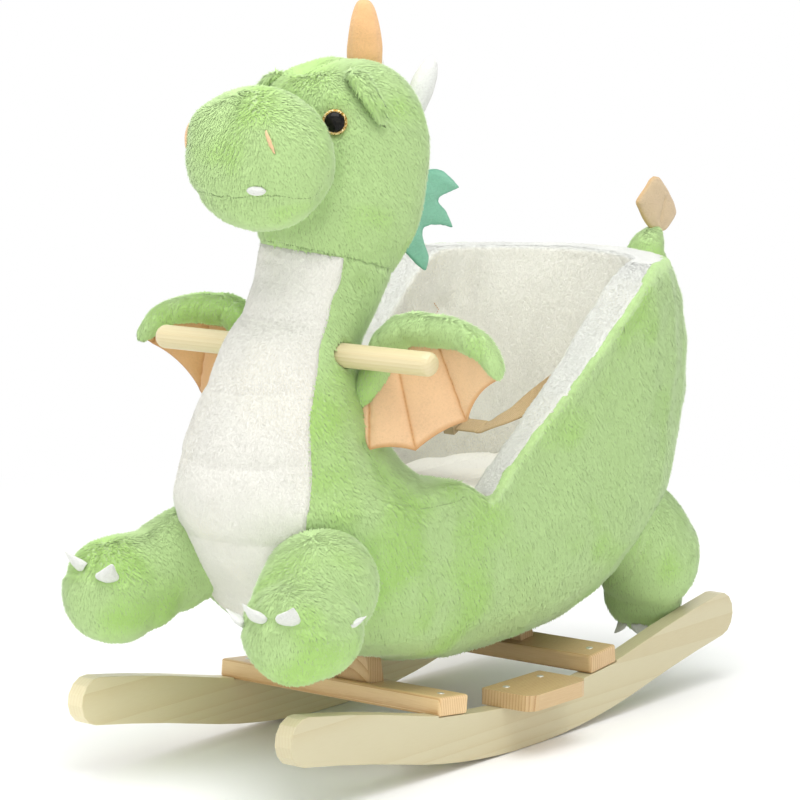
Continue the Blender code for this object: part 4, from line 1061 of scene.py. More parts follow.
def make_head(skin):
    mesh = skin.data
    eyes = [(side * EYE_SPOT[0], *EYE_SPOT[1:]) for _, side in SIDES]
    crease_between(mesh, "head", "muzzle", 8, 5.5)
    for _, side in SIDES:
        swell(mesh, (side * 40, -264, 588), 21, 5.5)
        swell(mesh, (side * 52, -244, 540), 24, 2.5)
        swell(mesh, (side * 41, -180, 588), 15, -2.5)
        swell(mesh, (side * 44, -176, 612), 16, 3.0)
        groove(mesh, mirror(NOSTRIL, side), 3.5, 2.6)
    groove(mesh, ((0, -287, 560), (0, -284, 580), (0, -272, 600), (0, -254, 612)), 9, 3.5)
    groove(mesh, MOUTH, 5, 3.6)
    groove(mesh, ((0, -287, 522), (0, -280, 505), (0, -262, 495)), 4, 1.8)
    groove(mesh, CROWN_SEAM, 5, 2.4)
    swell(mesh, (-8, -150, 638), 34, -5)
    swell(mesh, (0, -84, 642), 48, -4)
    for eye in eyes:
        swell(mesh, eye, 15, -2.2)
    dress(skin, "green", 0.95, ["head", "muzzle"], ["crown_horn", "left_horn", "right_horn"],
          0.010, 1, length=0.85, nap=(0, 0.45, -0.9), beside=1.2,
          bare=[(*eye, 12.6) for eye in eyes])
    round_neck = [[(side * x, y, seam_height(side * x, y)) for x, y in NECK_SEAM]
                  for _, side in SIDES]
    seam_lines("plush_head_seams", skin, [MOUTH, CROWN_SEAM, *round_neck], 0.35)
    tree = skin_tree(skin)
    for word, side in SIDES:
        rows = []
        out = 0 if side > 0 else 6
        slit = [(side * (x + out), y + out, z) for x, y, z in NOSTRIL]
        for k, point in enumerate(path_points(slit, 4)):
            spot, normal = tree.find_nearest(Vector(point))[:2]
            width = 0.5 + 1.5 * math.sin(math.pi * k / 8)
            rows.append((*((spot + normal * MM) / MM), width))
        slit = limb(f"{word}_nostril", rows, 2, 12, (1.0, 0.7),
                    materials=(finish_of("peach felt"),))
        stuffed(slit, "peach_felt", 0.7)
    spot, normal = tree.find_nearest(Vector((33, -276, 532)) * MM)[:2]
    centre = spot / MM + normal * 1.5
    across = Vector((0.92, 0.38, 0.0))
    rows = [(*(centre + across * reach), radius)
            for reach, radius in ((-9, 0.8), (-7, 3.2), (-3, 4.6), (2, 4.6), (6, 3.4), (8.5, 0.8))]
    tooth = limb("tooth", rows, 4, 16, (1.0, 0.75), normal.cross(across),
                 materials=(finish_of("white felt"),))
    stuffed(tooth, "white_felt", 0.9)


EYE_PROFILE = ((0.0, -3.0), (10.4, -3.0), (11.4, 1.0), (11.4, 3.0), (10.9, 4.0), (9.9, 4.4),
               (9.5, 4.3), (9.1, 3.8), (8.8, 4.4), (8.0, 5.5), (6.4, 6.6), (4.0, 7.4),
               (1.8, 7.75), (0.0, 7.8))


def make_eye(word, side, pupil, gold):
    turn = (Matrix.Translation(Vector((side * 42.4, -179.7, 587.2)) * MM)
            @ Matrix.Rotation(math.radians(34) * side, 4, "Z")
            @ Matrix.Rotation(math.radians(86), 4, "X"))
    bm = lathe(EYE_PROFILE, 40, turn @ Matrix.Scale(MM, 4), 7)
    eye = link(f"{word}_eye_button", to_mesh("eye", bm), pupil, gold)
    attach(eye, BODY)
    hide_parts(f"{word}_eye")


EAR = ((41, -153, 629, 5), (49, -157, 628, 9), (59, -159, 619, 10), (67, -158, 607, 8.5),
       (71, -154, 596, 7.5), (73, -151, 588, 4.5), (73, -150, 584, 1.5))
HORN = ((27, -58, 576, 10.5), (28, -48, 594, 12.8), (30, -38, 611, 12.8), (31, -30, 625, 10.6),
        (31, -25, 634, 6.8), (31, -23, 638.5, 1.5))
CROWN = ((0, 0, -6, 15.0), (0, 0, 4, 16.0), (0, 0, 15, 16.0), (0, -0.5, 27, 14.6),
         (0, -1, 38, 12.4), (0, -1, 48, 9.4), (0, -1, 54, 6.0), (0, -1, 57.4, 1.0))


def make_head_trim():
    for word, side in SIDES:
        low = 0 if side > 0 else 1
        rows = [(x - 4 * low, y - 2 * low, z - 5 * low, radius) for x, y, z, radius in EAR]
        bm = limb("ear", mirror(rows, side), 5, 24, (1.0, 0.58), (side * 0.26, 0.95, 0.15))
        ear = remeshed(f"{word}_ear_flap", bm, 1.8, 3)
        groove(ear.data, mirror(((48, -158, 632), (62, -160, 620), (70, -157, 606),
                                 (75, -152, 592)), side), 3, 1.6)
        ripple(ear.data, 110.0, 1.6, 3.0)
        dress(ear, "green", 0.6, [f"{word}_ear"], ["head"], 0.003, 9, own_reach=0.004,
              length=23 / 24, thick=1.2, untidy=1.3)
        horn = limb(f"{word}_horn_felt", mirror(HORN, side), 6, 24, (0.8, 1.0),
                    materials=(finish_of("white felt"),))
        groove(horn.data, mirror(((38, -50, 582), (37, -38, 605), (34, -26, 630)), side), 1.6, 0.8)
        ripple(horn.data, 90.0, 0.7, side)
        stuffed(horn, "white_felt", 0.85, f"{word}_horn")
    rows = [(x, y - 84, z + 636, radius) for x, y, z, radius in CROWN]
    crown = limb("crown_horn_felt", rows, 6, 36, materials=(finish_of("crown felt"),))
    for a in (0.2, 2.3, 4.4):
        groove(crown.data, [(math.cos(a) * r, math.sin(a) * r - 84, z + 636)
                            for r, z in ((15.8, 2), (16, 15), (14.6, 27), (12.4, 38), (9.4, 48),
                                         (3, 56))], 1.5, 1.1)
    ripple(crown.data, 60.0, 0.9, 3.0)
    stuffed(crown, "peach_felt", 0.9, "crown_horn")


# Wings, fin and tail

WING_PLACING = (Matrix.Translation((0, -152, 400))
                @ Matrix.Rotation(math.pi / 2 - math.radians(18.2), 4, "X"))
WING_ARM = ((48, -78, 9), (60, -67, 12), (72, -48, 14.5), (79, -26, 15.5), (87, -5, 16.5),
            (106, 5, 15.5), (130, 6, 14.5), (160, 4, 13), (187, -6, 11.2), (204, -21, 8),
            (210, -30, 3))
WING_EDGE = ((64, -176, 325), (87, -187, 300), (104, -177, 303), (122, -166, 300),
             (137, -150, 315.5), (156, -136, 326), (174, -144, 351), (201, -152, 368),
             (209, -158, 374))


def wing_spine():
    return [(*(WING_PLACING @ Vector((x, z, 0))), radius) for x, z, radius in WING_ARM]


def scallop(position):
    """Lower edge of the wing: pointed tips at the odd points, hollow between them."""
    points = [np.array(point, float) for point in WING_EDGE]
    if position <= 1 or position >= 7:
        low = 0 if position <= 1 else 7
        return points[low] + (points[low + 1] - points[low]) * (position - low)
    start = min(int((position - 1) // 2) * 2 + 1, 5)
    t = (position - start) / 2
    a, valley, b = points[start:start + 3]
    pull = 2 * valley - (a + b) / 2
    return a * (1 - t) ** 2 + 2 * pull * t * (1 - t) + b * t ** 2


def make_wing(word, side):
    spine = wing_spine()
    bm = limb("arm", mirror(spine, side), 6, 24)
    arm = remeshed(f"{word}_wing_arm_plush", bm, 2.8, 4)
    for k in (1.6, 2.7, 3.8, 4.9, 6.1, 7.2, 8.2):
        x, y, z, radius = catmull([np.array(row) for row in spine], k)
        slant = 0.5 * radius
        groove(arm.data, mirror(((x - slant, y, z + radius), (x, y - radius, z),
                                 (x + slant, y, z - radius)), side), 3.2, 1.5)
    ripple(arm.data, 45.0, 1.6, side)
    dress(arm, "green", 0.8, [f"{word}_wing_arm"], ["neck"], 0.006, 13 + side, length=0.75,
          thick=1.1, nap=(0, 0.2, -1))

    columns, rows = 96, 18
    upper = [np.array(row[:3]) for row in spine[1:-1]]
    middle = np.array([[catmull(upper, s) * (1 - t) + scallop(s) * t
                        for t in (j / rows for j in range(rows + 1))]
                       for s in (8 * i / columns for i in range(columns + 1))])
    du, dv = np.gradient(middle, axis=0), np.gradient(middle, axis=1)
    out = np.cross(du, dv)
    out /= np.linalg.norm(out, axis=2)[:, :, None]
    s = np.linspace(0, 8, columns + 1)[:, None]
    t = np.linspace(0, 1, rows + 1)[None, :]
    span = np.where(s <= 1, s, np.where(s >= 7, s - 7, ((s - 1) % 2) / 2))
    width = np.linalg.norm(np.diff(middle, axis=0), axis=2).mean() * columns / 4
    to_seam = np.minimum(span, 1 - span) * width
    to_edge = (1 - t) * np.linalg.norm(middle[:, -1] - middle[:, 0], axis=1)[:, None]
    puff = 1.2 + 2.6 * (1 - np.exp(-(to_seam / 5) ** 1.4)) * (1 - np.exp(-(to_edge / 5) ** 1.4))
    wrinkle = 0.5 * np.sin(to_edge * 0.42 + 3 * s) * np.exp(-(to_seam / 7) ** 2)
    # Painted shade where the puffed felt dips to its seams and its edge, kept as the seam
    # attribute.
    seam = np.maximum(np.exp(-(to_seam / 1.5) ** 2), np.exp(-(to_edge / 1.8) ** 2)) * 0.85
    bm = bmesh.new()
    flip = np.array((side, 1, 1))
    layers = [[[bm.verts.new((middle[i, j] + out[i, j] * sign * (puff + wrinkle)[i, j])
                             * flip * MM) for j in range(rows + 1)]
               for i in range(columns + 1)] for sign in (1, -1)]
    quilt(bm, *layers)
    mesh = to_mesh("wing", bm)
    store(mesh, "seam", np.tile(seam.ravel(), 2))
    # The far wing takes the darker copy of the peach felt, a painted shade.
    skin = link(f"{word}_wing_felt", mesh,
                finish_of("peach felt" if side > 0 else "deep peach felt"))
    stuffed(skin, "peach_felt", 0.4, f"{word}_wing_skin")
    lines = []
    for index in (12, 36, 60, 84):
        for sign in (1, -1):
            lines.append([tuple((middle[index, j] + out[index, j] * sign * 1.5) * flip * MM)
                          for j in range(4, rows)])
    stitch(f"{word}_wing_stitches", lines, 4.2, 2.6, 0.35)


def make_fin():
    fin = remeshed("neck_fin_felt", node_copy("neck_fin"), 1.5, 2)
    mesh = fin.data
    outline = node_outline("neck_fin")
    soften(mesh, 9)
    co = coords(mesh)
    flat = co * (0, 1, 1)
    inside = line_distance(flat, outline)
    thick = 0.9 + 1.9 * (1 - np.exp(-(inside / (5 * MM)) ** 1.3))
    folds = 0.5 * np.sin(co[:, 2] * 260 + co[:, 1] * 120)
    co[:, 0] = np.sign(co[:, 0]) * (thick + folds * (inside > 4 * MM) * 0.5) * MM
    set_coords(mesh, co)
    # Painted shade round the fin's sewn edge.
    store(mesh, "seam", np.exp(-(inside / (1.6 * MM)) ** 2) * 0.6)
    mesh.materials.append(finish_of("teal felt"))
    stuffed(fin, "teal_felt", 0.5, "neck_fin")


def node_outline(name):
    """Edge of a flat upright node, as seen from the side."""
    bm = node_copy(name)
    loops = []
    for edge in bm.edges:
        if len(edge.link_faces) == 2:
            a, b = (face.normal for face in edge.link_faces)
            if abs(abs(a.x) - abs(b.x)) > 0.5 and edge.verts[0].co.x > 0 < edge.verts[1].co.x:
                loops.append([np.array(vert.co) * (0, 1, 1) for vert in edge.verts])
    bm.free()
    return np.array([point for pair in loops for point in (*pair, (9.0, 9.0, 9.0))])


TAIL = ((0, 340, 362, 17), (0, 362, 382, 19), (0, 376, 404, 21), (0, 378.5, 418, 21.5),
        (0, 381, 427, 18.5), (0, 387, 434, 15), (0, 393, 439, 11.5), (0, 398, 445, 7),
        (0, 400, 449, 2))
LEAF = ((393, 500), (385, 497), (377, 490), (368, 483), (361, 476), (366, 468), (372, 461),
        (380, 453), (389, 446), (401, 443), (413, 443), (420, 446), (426, 451), (434, 459),
        (432, 466), (427, 474), (420, 482), (411, 491), (402, 498))


def make_tail():
    tail = remeshed("tail_plush", limb("tail", TAIL, 5, 28), 2.6, 3)
    ripple(tail.data, 60.0, 1.2, 5.0)
    dress(tail, "green", 0.9, ["tail"], ["torso", "seat_shell", "tail_tip"], 0.008, 30,
          length=0.7, thick=1.1, nap=(0, 0.2, -1))
    rows, centre = 14, np.array((401, 470))
    edge = [catmull([np.array(point) for point in LEAF + LEAF[:1]], k / 4)
            for k in range(len(LEAF) * 4)]
    bm = bmesh.new()
    layers = [[[bm.verts.new(Vector((sign * (0.8 + 3.6 * (1 - (r / rows) ** 4) ** 0.5),
                                     *(centre + (point - centre) * r / rows))) * MM)
                for point in edge] for r in range(1, rows + 1)] for sign in (1, -1)]
    middles = [bm.verts.new(Vector((sign * 4.4, *centre)) * MM) for sign in (1, -1)]
    for k in range(len(edge)):
        m = (k + 1) % len(edge)
        for rings, middle in zip(layers, middles):
            bm.faces.new((middle, rings[0][k], rings[0][m]))
            for low, high in zip(rings, rings[1:]):
                bm.faces.new((low[k], low[m], high[m], high[k]))
        bm.faces.new((layers[0][-1][k], layers[0][-1][m], layers[1][-1][m], layers[1][-1][k]))
    bmesh.ops.recalc_face_normals(bm, faces=bm.faces)
    mesh = to_mesh("leaf", bm)
    rim = [np.array((0, *point)) * MM for point in edge]
    to_edge = line_distance(coords(mesh) * (0, 1, 1), rim + rim[:1])
    # Painted shade round the leaf's sewn edge.
    store(mesh, "seam", np.exp(-(to_edge / (1.5 * MM)) ** 2) * 0.5)
    tip = link("tail_tip_felt", mesh)
    for side in (1, -1):
        groove(mesh, mirror(((5, 400, 452), (5, 403, 464), (5, 408, 476)), side), 2.0, 1.8)
    ripple(tip.data, 70.0, 0.8, 1.0)
    tip.data.materials.append(finish_of("tail felt"))
    stuffed(tip, "peach_felt", 0.7, "tail_tip")


# Seat, cushion and belly

def make_lining():
    lining = remeshed("seat_lining_plush", node_copy("seat_lining"), 3.2, 16)
    mesh = lining.data
    co, nor = coords(mesh), normals(mesh)
    inward = np.clip(-(nor[:, 0] * co[:, 0] + nor[:, 1] * (co[:, 1] - 0.06))
                     / np.hypot(co[:, 0], co[:, 1] - 0.06), 0, 1)
    turn = np.arctan2(co[:, 0], co[:, 1] - 0.06)
    height = np.clip((co[:, 2] - 0.235) / 0.05, 0, 1) * np.clip((0.425 - co[:, 2]) / 0.04, 0, 1)
    folds = sum(depth * np.exp(-((turn - at - lean * (co[:, 2] - 0.33)) / wide) ** 2)
                for at, depth, wide, lean in ((0.02, 1.8, 0.05, 0.1), (0.52, 3.0, 0.05, 0.6),
                                              (-0.5, 3.0, 0.05, -0.5), (1.02, 2.2, 0.06, 0.5),
                                              (-1.0, 2.6, 0.06, -0.6), (-1.5, 2.0, 0.07, 0.3),
                                              (1.5, 2.0, 0.07, -0.3)))
    rim = np.clip(1 - np.abs(inward - 0.1) * 1.2, 0, 1) * (nor[:, 2] > -0.3)
    rim *= np.clip((co[:, 2] - 0.246) / 0.02, 0, 1)
    push(mesh, rim * 0.8 - inward * height * (folds - 1.0))
    ripple(mesh, 20.0, 1.2, 9.0)
    for _, side in SIDES:
        swell(mesh, (side * 112, 176, 376), 11, -3.5)
    dress(lining, "cream", 0.6, ["seat_lining"],
          ["seat_shell", "seat_board", "neck", "torso", "seat_cushion"], 0.008, 40,
          nap=(0, 0.1, -1))
    tacks = []
    for _, side in SIDES:
        for turn in (0.8, -0.8):
            middle = Vector((side * 110.5, 173, 375.5))
            way = Vector((0, math.cos(turn), math.sin(turn)))
            tacks.append([tuple((middle + way * reach) * MM) for reach in (-9, -3, 3, 9)])
    stitch("belt_anchor_tacks", tacks, 2.6, 2.4, 0.5)


STUFFING_FRAMES, STUFFING_REACH = 20, 7


def make_cushion():
    cushion = link("seat_cushion_plush", to_mesh("cushion", node_copy("seat_cushion")))
    co = coords(cushion.data)
    centre = (co.min(axis=0) + co.max(axis=0)) / 2
    set_coords(cushion.data, centre + (co - centre) * (0.965, 0.975, 0.8) - (0, 0, 0.003))
    even_skin(cushion, 5)
    rest = coords(cushion.data)
    cloth = cushion.modifiers.new("stuffing", "CLOTH")
    cloth.settings.quality = 4
    cloth.settings.use_pressure = True
    cloth.settings.uniform_pressure_force = 4.0
    cloth.settings.effector_weights.gravity = 0.0
    cloth.settings.tension_stiffness = 12.0
    cloth.point_cache.frame_start, cloth.point_cache.frame_end = 1, STUFFING_FRAMES
    scene = bpy.context.scene
    for step in range(1, STUFFING_FRAMES + 1):
        scene.frame_set(step)
    mesh = evaluated(cushion)
    moved = coords(mesh) - rest
    bpy.data.meshes.remove(mesh)
    reach = np.linalg.norm(moved, axis=1)
    moved *= np.minimum(1, STUFFING_REACH * MM / np.maximum(reach, 1e-9))[:, None]
    cushion.modifiers.clear()
    scene.frame_set(1)
    set_coords(cushion.data, rest + moved)
    relax(cushion.data, 4)
    smooth = cushion.modifiers.new("finer", "SUBSURF")
    smooth.levels = smooth.render_levels = 1
    settle(cushion)
    mesh = cushion.data
    low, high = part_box("seat_cushion")
    set_coords(mesh, np.clip(coords(mesh), np.array(low), np.array(high) + (0, 0, 0.006)))
    for x in (-34, 34):
        groove(mesh, ((x, -80, 236), (x, 0, 240), (x, 80, 241), (x, 190, 236)), 4, 3.0)
    ripple(mesh, 22.0, 1.6, 11.0)
    dress(cushion, "belly", 0.85, ["seat_cushion"], ["seat_board"], 0.008, 41,
          nap=(-0.3, 0.8, -0.2))


BELLY_ROWS = ((482, 47.5), (467, 47), (431, 45), (389, 52), (346, 61), (310, 69), (285, 74),
              (256, 77), (229, 74), (190, 66), (158, 54), (135, 38), (118, 14))
QUILT_LINES = (118, 172, 227, 295, 355, 414)
BELLY_FOOT, BELLY_TOP, QUILT_END = 119, 475.3, 480


def make_belly(body):
    """Quilted panel: a pillow between every two sewn lines, sewn down along its edge."""
    over = skin_tree(body)
    heights = np.array([z for z, _ in BELLY_ROWS][::-1], float)
    halves = np.array([half for _, half in BELLY_ROWS][::-1], float)
    rows, columns = 110, 44
    bm = bmesh.new()
    front, back = [], []
    for j in range(rows + 1):
        share = j / rows
        line = [[], []]
        for i in range(columns + 1):
            s = 2 * i / columns - 1
            z = BELLY_FOOT + (BELLY_TOP - 3.8 * s - 5.0 * s * s - BELLY_FOOT) * share
            half = float(np.interp(z, heights, halves))
            sag = -7 * (1 - s * s) * math.sin(math.pi * share)
            hit, normal = over.ray_cast(Vector((s * half, -420, z)) * MM, Vector((0, 1, 0)))[:2]
            if hit is None:
                raise RuntimeError(f"no cloth under the belly at height {z:.0f} mm")
            level = z - sag
            below = max([line_z for line_z in QUILT_LINES if line_z <= level],
                        default=QUILT_LINES[0])
            above = min([line_z for line_z in QUILT_LINES if line_z > level],
                        default=QUILT_END)
            part = (level - below) / (above - below)
            pillow = max(0.0, math.sin(math.pi * min(max(part, 0), 1))) ** 0.38
            flank = 1 - abs(s) ** 7
            end = min(1.0, share / 0.04, (1 - share) / 0.02)
            rise = 0.7 + (0.6 + 4.6 * pillow) * flank * end
            rise += 0.5 * noise.noise(Vector((s * half, z, 0)) * 0.05) * flank
            line[0].append(bm.verts.new(hit + normal * rise * MM))
            line[1].append(bm.verts.new(hit - normal * 1.2 * MM))
        front.append(line[0])
        back.append(line[1])
    quilt(bm, front, back)
    belly = link("belly_panel_plush", to_mesh("belly", bm))
    relax(belly.data, 3)
    ripple(belly.data, 30.0, 1.2, 15.0)
    dress(belly, "belly", 0.5, ["belly_panel"], ["torso", "left_front_leg", "right_front_leg"],
          0.004, 42, nap=(0, 0.2, -1))


# Lap belt

BELT_TURN = Matrix.Rotation(math.radians(25), 4, "X")
BELT_LAP = Matrix.Translation((0, 8, 298)) @ BELT_TURN
BELT_PATH = ((80, 15, 300), (91, 30, 308), (98, 52, 319), (103, 82, 333), (107, 115, 348),
             (112, 150, 365), (120.5, 173, 376))
BELT_ACROSS = ((-0.2, 0.85, 0.42), (-0.3, 0.8, 0.5), (-0.3, 0.6, 0.75), (-0.2, 0.3, 1),
               (-0.1, 0, 1), (0, -0.2, 1), (0, -0.4, 1))


def tape(name, points, across, width, thickness, steps, *materials):
    """Flat tape whose UV map runs over its width and, in metres, along its length."""
    rows = [np.array(point, float) for point in points]
    ways = [np.array(way, float) / np.linalg.norm(way) for way in across]
    last = len(rows) - 1
    bm = bmesh.new()
    layer = bm.loops.layers.uv.new("tape")
    shape = ((-0.5, 0.35), (-0.46, 0.5), (-0.2, 0.56), (0.2, 0.56), (0.46, 0.5), (0.5, 0.35),
             (0.5, -0.35), (0.46, -0.5), (0.2, -0.56), (-0.2, -0.56), (-0.46, -0.5),
             (-0.5, -0.35))
    rings, run, before = [], 0.0, None
    for k in range(last * steps + 1):
        here = k / steps
        ahead = catmull(rows, min(here + 0.05, last)) - catmull(rows, max(here - 0.05, 0))
        ahead /= np.linalg.norm(ahead)
        side = catmull(ways, here)
        side = side - ahead * (side @ ahead)
        side /= np.linalg.norm(side)
        up = np.cross(ahead, side)
        centre = catmull(rows, here)
        run += 0.0 if before is None else float(np.linalg.norm(centre - before)) * MM
        before = centre
        rings.append((run, [bm.verts.new((centre + side * a * width + up * b * thickness) * MM)
                            for a, b in shape]))
    for (low_run, low), (high_run, high) in zip(rings, rings[1:]):
        for i in range(len(shape)):
            j = (i + 1) % len(shape)
            face = bm.faces.new((low[i], low[j], high[j], high[i]))
            for loop, u, v in zip(face.loops, (i, j, j, i),
                                  (low_run, low_run, high_run, high_run)):
                loop[layer].uv = (shape[u][0] + 0.5, v)
    bm.faces.new(rings[0][1][::-1])
    bm.faces.new(rings[-1][1])
    bmesh.ops.recalc_face_normals(bm, faces=bm.faces)
    return link(name, to_mesh(name, bm), *materials), run


TAPE_WIDTH, TAPE_THICKNESS = 20.0, 1.5


BELT_STARTS = {1: (22.0, -4.5), -1: (17.3, 0.0)}


def make_belt():
    web = webbing("belt webbing", (0.66, 0.48, 0.26), (0.44, 0.30, 0.14))
    flat = BELT_TURN.to_3x3() @ Vector((0, 1, 0))
    for word, side in SIDES:
        start, drop = BELT_STARTS[side]
        low = BELT_LAP @ Vector((0, 0, drop))
        points = [(x, low.y, low.z) for x in (start, 40, 58, 63, 68)] + list(BELT_PATH)
        across = [tuple(flat)] * 5 + list(BELT_ACROSS)
        strap, length = tape(f"{word}_belt_tape", mirror(points, side), mirror(across, side),
                             TAPE_WIDTH, TAPE_THICKNESS, 6, web)
        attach(strap, BODY)
        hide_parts(f"{word}_belt")
        if side < 0:
            lift = BELT_TURN.to_3x3() @ Vector((0, 0, 1.1))
            box = [Vector((side * x, low.y, low.z)) + flat * y + lift
                   for x, y in ((20, -7.5), (38, -7.5), (38, 7.5), (20, 7.5))]
            rows = [[tuple(point * MM) for point in pair]
                    for pair in (*zip(box, box[1:] + box[:1]), (box[0], box[2]),
                                 (box[1], box[3]))]
            stitch("belt_box_stitches", rows, 2.6, 2.2, 0.4)


# Wooden base

BAR_SEAT, BAR_REACH, BAR_TILT, BAR_THICKNESS = 52.3, 120.0, 6.0, 18.0
FOOTREST_TOP, BAR_SCREW_X = 60.3, 114
FOOTREST_SCREWS = ((-121, -27), (-121, 27), (121, -27), (121, 27))
SCREW_DIAMETER = 7.4
SCREW_PROFILE = ((0.0, 0.10), (0.30, 0.10), (0.44, 0.05), (0.5, -0.02), (0.5, -0.16),
                 (0.0, -0.16))
# Boards made paler as painted light, to lift the shade they stand in: the front bar under the body
# and the far runner.
SHADE_LIFTED_BOARDS = {"front_cross_bar": 0.32, "right_runner": 0.25}


def make_wood(wood):
    """Pine on every wooden node: grain along each board, no two boards alike, and the boards that
    stand in shade made paler as painted light.
    """
    pale = tuple(wood.pale), (0.84, 0.74, 0.56)
    warm = tuple(wood.warm), (0.58, 0.38, 0.22)
    handle = tuple(wood.handle), (0.9, 0.82, 0.66)
    boards = {"left_runner": ("y", pale), "right_runner": ("y", pale),
              "front_cross_bar": ("x", warm), "rear_cross_bar": ("x", warm),
              "left_footrest": ("y", warm), "right_footrest": ("y", warm),
              "neck_post": ("z", warm), "rear_riser": ("z", warm), "seat_cleat": ("x", warm),
              "seat_board": ("y", pale), "back_board": ("z", pale),
              "handle_bar": ("x", handle), "handle_block": ("z", warm)}
    for k, (name, (axis, (tone, depth))) in enumerate(boards.items()):
        # A small tone of its own for each board, plus painted light for the boards in shade.
        level = 1 + 0.05 * math.sin(k * 2.4) + SHADE_LIFTED_BOARDS.get(name, 0.0)
        light = shade(tone, level)
        dark = tuple(part * share for part, share in zip(light, depth))
        pith = (0.021 * math.sin(k * 1.7), 0.03 * math.cos(k * 2.9), -0.06 - 0.008 * (k % 3))
        finish = pine(f"pine {name}", light, dark, axis, pith, 1.5 if depth[2] < 0.3 else 1.0)
        mesh = NODES[name].data
        mesh.materials.clear()
        mesh.materials.append(finish)


def make_screws(steel):
    bm = lathe(SCREW_PROFILE, 24)
    for size in ((0.52, 0.1), (0.1, 0.52)):
        slot_box = bmesh.ops.create_cube(bm, size=1.0)
        bmesh.ops.scale(bm, vec=(*size, 0.03), verts=slot_box["verts"])
        bmesh.ops.translate(bm, vec=(0, 0, 0.092), verts=slot_box["verts"])
        for vert in slot_box["verts"]:
            for face in vert.link_faces:
                face.material_index = 1
    head = link("screw head", to_mesh("screw head", bm, smooth=False))
    spots, ups = [], []
    for side_y in (-1, 1):
        up = Matrix.Rotation(math.radians(BAR_TILT * side_y), 3, "X") @ Vector((0, 0, 1))
        for x in (-BAR_SCREW_X, BAR_SCREW_X):
            spots.append(Vector((x, side_y * BAR_REACH, BAR_SEAT)) + up * BAR_THICKNESS)
            ups.append(up)
    for x, y in FOOTREST_SCREWS:
        spots.append(Vector((x, y, FOOTREST_TOP)))
        ups.append(Vector((0, 0, 1)))
    mesh = bpy.data.meshes.new("screw spots")
    mesh.from_pydata([tuple(spot * MM) for spot in spots], [], [])
    store(mesh, "up", ups, "FLOAT_VECTOR", "vector")
    screws = run_group("base_screws", mesh, screw_group(), {
        "Head Diameter": SCREW_DIAMETER * MM, "Screw Head": head, "Material": steel})
    bpy.data.objects.remove(head)
    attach(screws, BODY)


# Settings, operators and panel

def colour(name, description, default):
    return FloatVectorProperty(name=name, description=description, subtype="COLOR", size=3,
                               min=0, max=1, default=default)


class PlushSettings(bpy.types.PropertyGroup):
    green: colour("Green", "Colour of the long pile at its tips",
                (0.575, 0.81, 0.35))
    cream: colour("Cream", "Colour of the seat and the belly",
                (0.985, 0.972, 0.885))
    peach: colour("Peach", "Felt of the wings and the crown horn",
                (0.86, 0.57, 0.33))
    teal: colour("Teal", "Felt of the fin on the neck",
               (0.225, 0.54, 0.37))
    white: colour("White", "Felt of the claws, tooth and horns",
                (0.75, 0.76, 0.72))
    pile_length: FloatProperty(name="Pile Length", description="Mean length of a green tuft",
                               unit="LENGTH", default=0.0048, min=0.002, max=0.02)
    cream_pile: FloatProperty(name="Cream Pile", description="Mean length of a cream tuft",
                              unit="LENGTH", default=0.0020, min=0.001, max=0.02)
    tuft_width: FloatProperty(name="Tuft Width", description="Radius of a tuft at its root",
                              unit="LENGTH", default=0.0008, min=0.0004, max=0.004)
    tufts: FloatProperty(name="Tufts", description="Tufts on a square metre of plush",
                         default=460000.0, min=1000.0)
    seed: IntProperty(name="Seed", description="Seed for the places of the tufts", default=3)


class WoodSettings(bpy.types.PropertyGroup):
    pale: colour("Runners", "Light rings of the runners' pine",
               (0.62, 0.565, 0.375))
    warm: colour("Bars", "Light rings of the bars and footrests",
               (0.68, 0.50, 0.27))
    handle: colour("Handle", "Light rings of the handle",
                 (0.69, 0.60, 0.375))


class StageSettings(bpy.types.PropertyGroup):
    sky: FloatProperty(name="Sky", description="Level of the even light all round",
                       default=0.82, min=0)
    key: FloatProperty(name="Key", description="Power of the large lamp at the front left",
                       subtype="POWER", default=11.0, min=0)
    fill: FloatProperty(name="Fill", description="Power of the large lamp at the right",
                        subtype="POWER", default=9.0, min=0)
    overhead: FloatProperty(name="Overhead", description="Power of the large lamp overhead",
                            subtype="POWER", default=64.0, min=0)
    floor: colour("Floor", "Colour of the floor",
                (0.95, 0.95, 0.95))


class Step:
    """An operator that makes one group of pieces."""

    def execute(self, context):
        self.build(context)
        return {"FINISHED"}


class DRAGON_OT_body(Step, bpy.types.Operator):
    """Sew body and head in one, part them at the neck seam, and quilt the belly."""
    bl_idname = "dragon.body"
    bl_label = "Body, Head and Belly"

    def build(self, context):
        body, head = make_body()
        make_belly(body)
        make_head(head)


class DRAGON_OT_face(Step, bpy.types.Operator):
    """Sew on the ears and horns, and set the eyes."""
    bl_idname = "dragon.face"
    bl_label = "Ears, Horns and Eyes"

    def build(self, context):
        make_head_trim()
        pupil, gold = button_black("eye black"), glitter_gold("eye ring")
        for word, side in SIDES:
            make_eye(word, side, pupil, gold)


class DRAGON_OT_legs(Step, bpy.types.Operator):
    """Sew the four legs with their claws."""
    bl_idname = "dragon.legs"
    bl_label = "Legs"

    def build(self, context):
        for word, side in SIDES:
            for end in ("front", "rear"):
                make_leg(word, side, end)


class DRAGON_OT_wings(Step, bpy.types.Operator):
    """Sew the wings, the fin and the tail."""
    bl_idname = "dragon.wings"
    bl_label = "Wings, Fin and Tail"

    def build(self, context):
        for word, side in SIDES:
            make_wing(word, side)
        make_fin()
        make_tail()


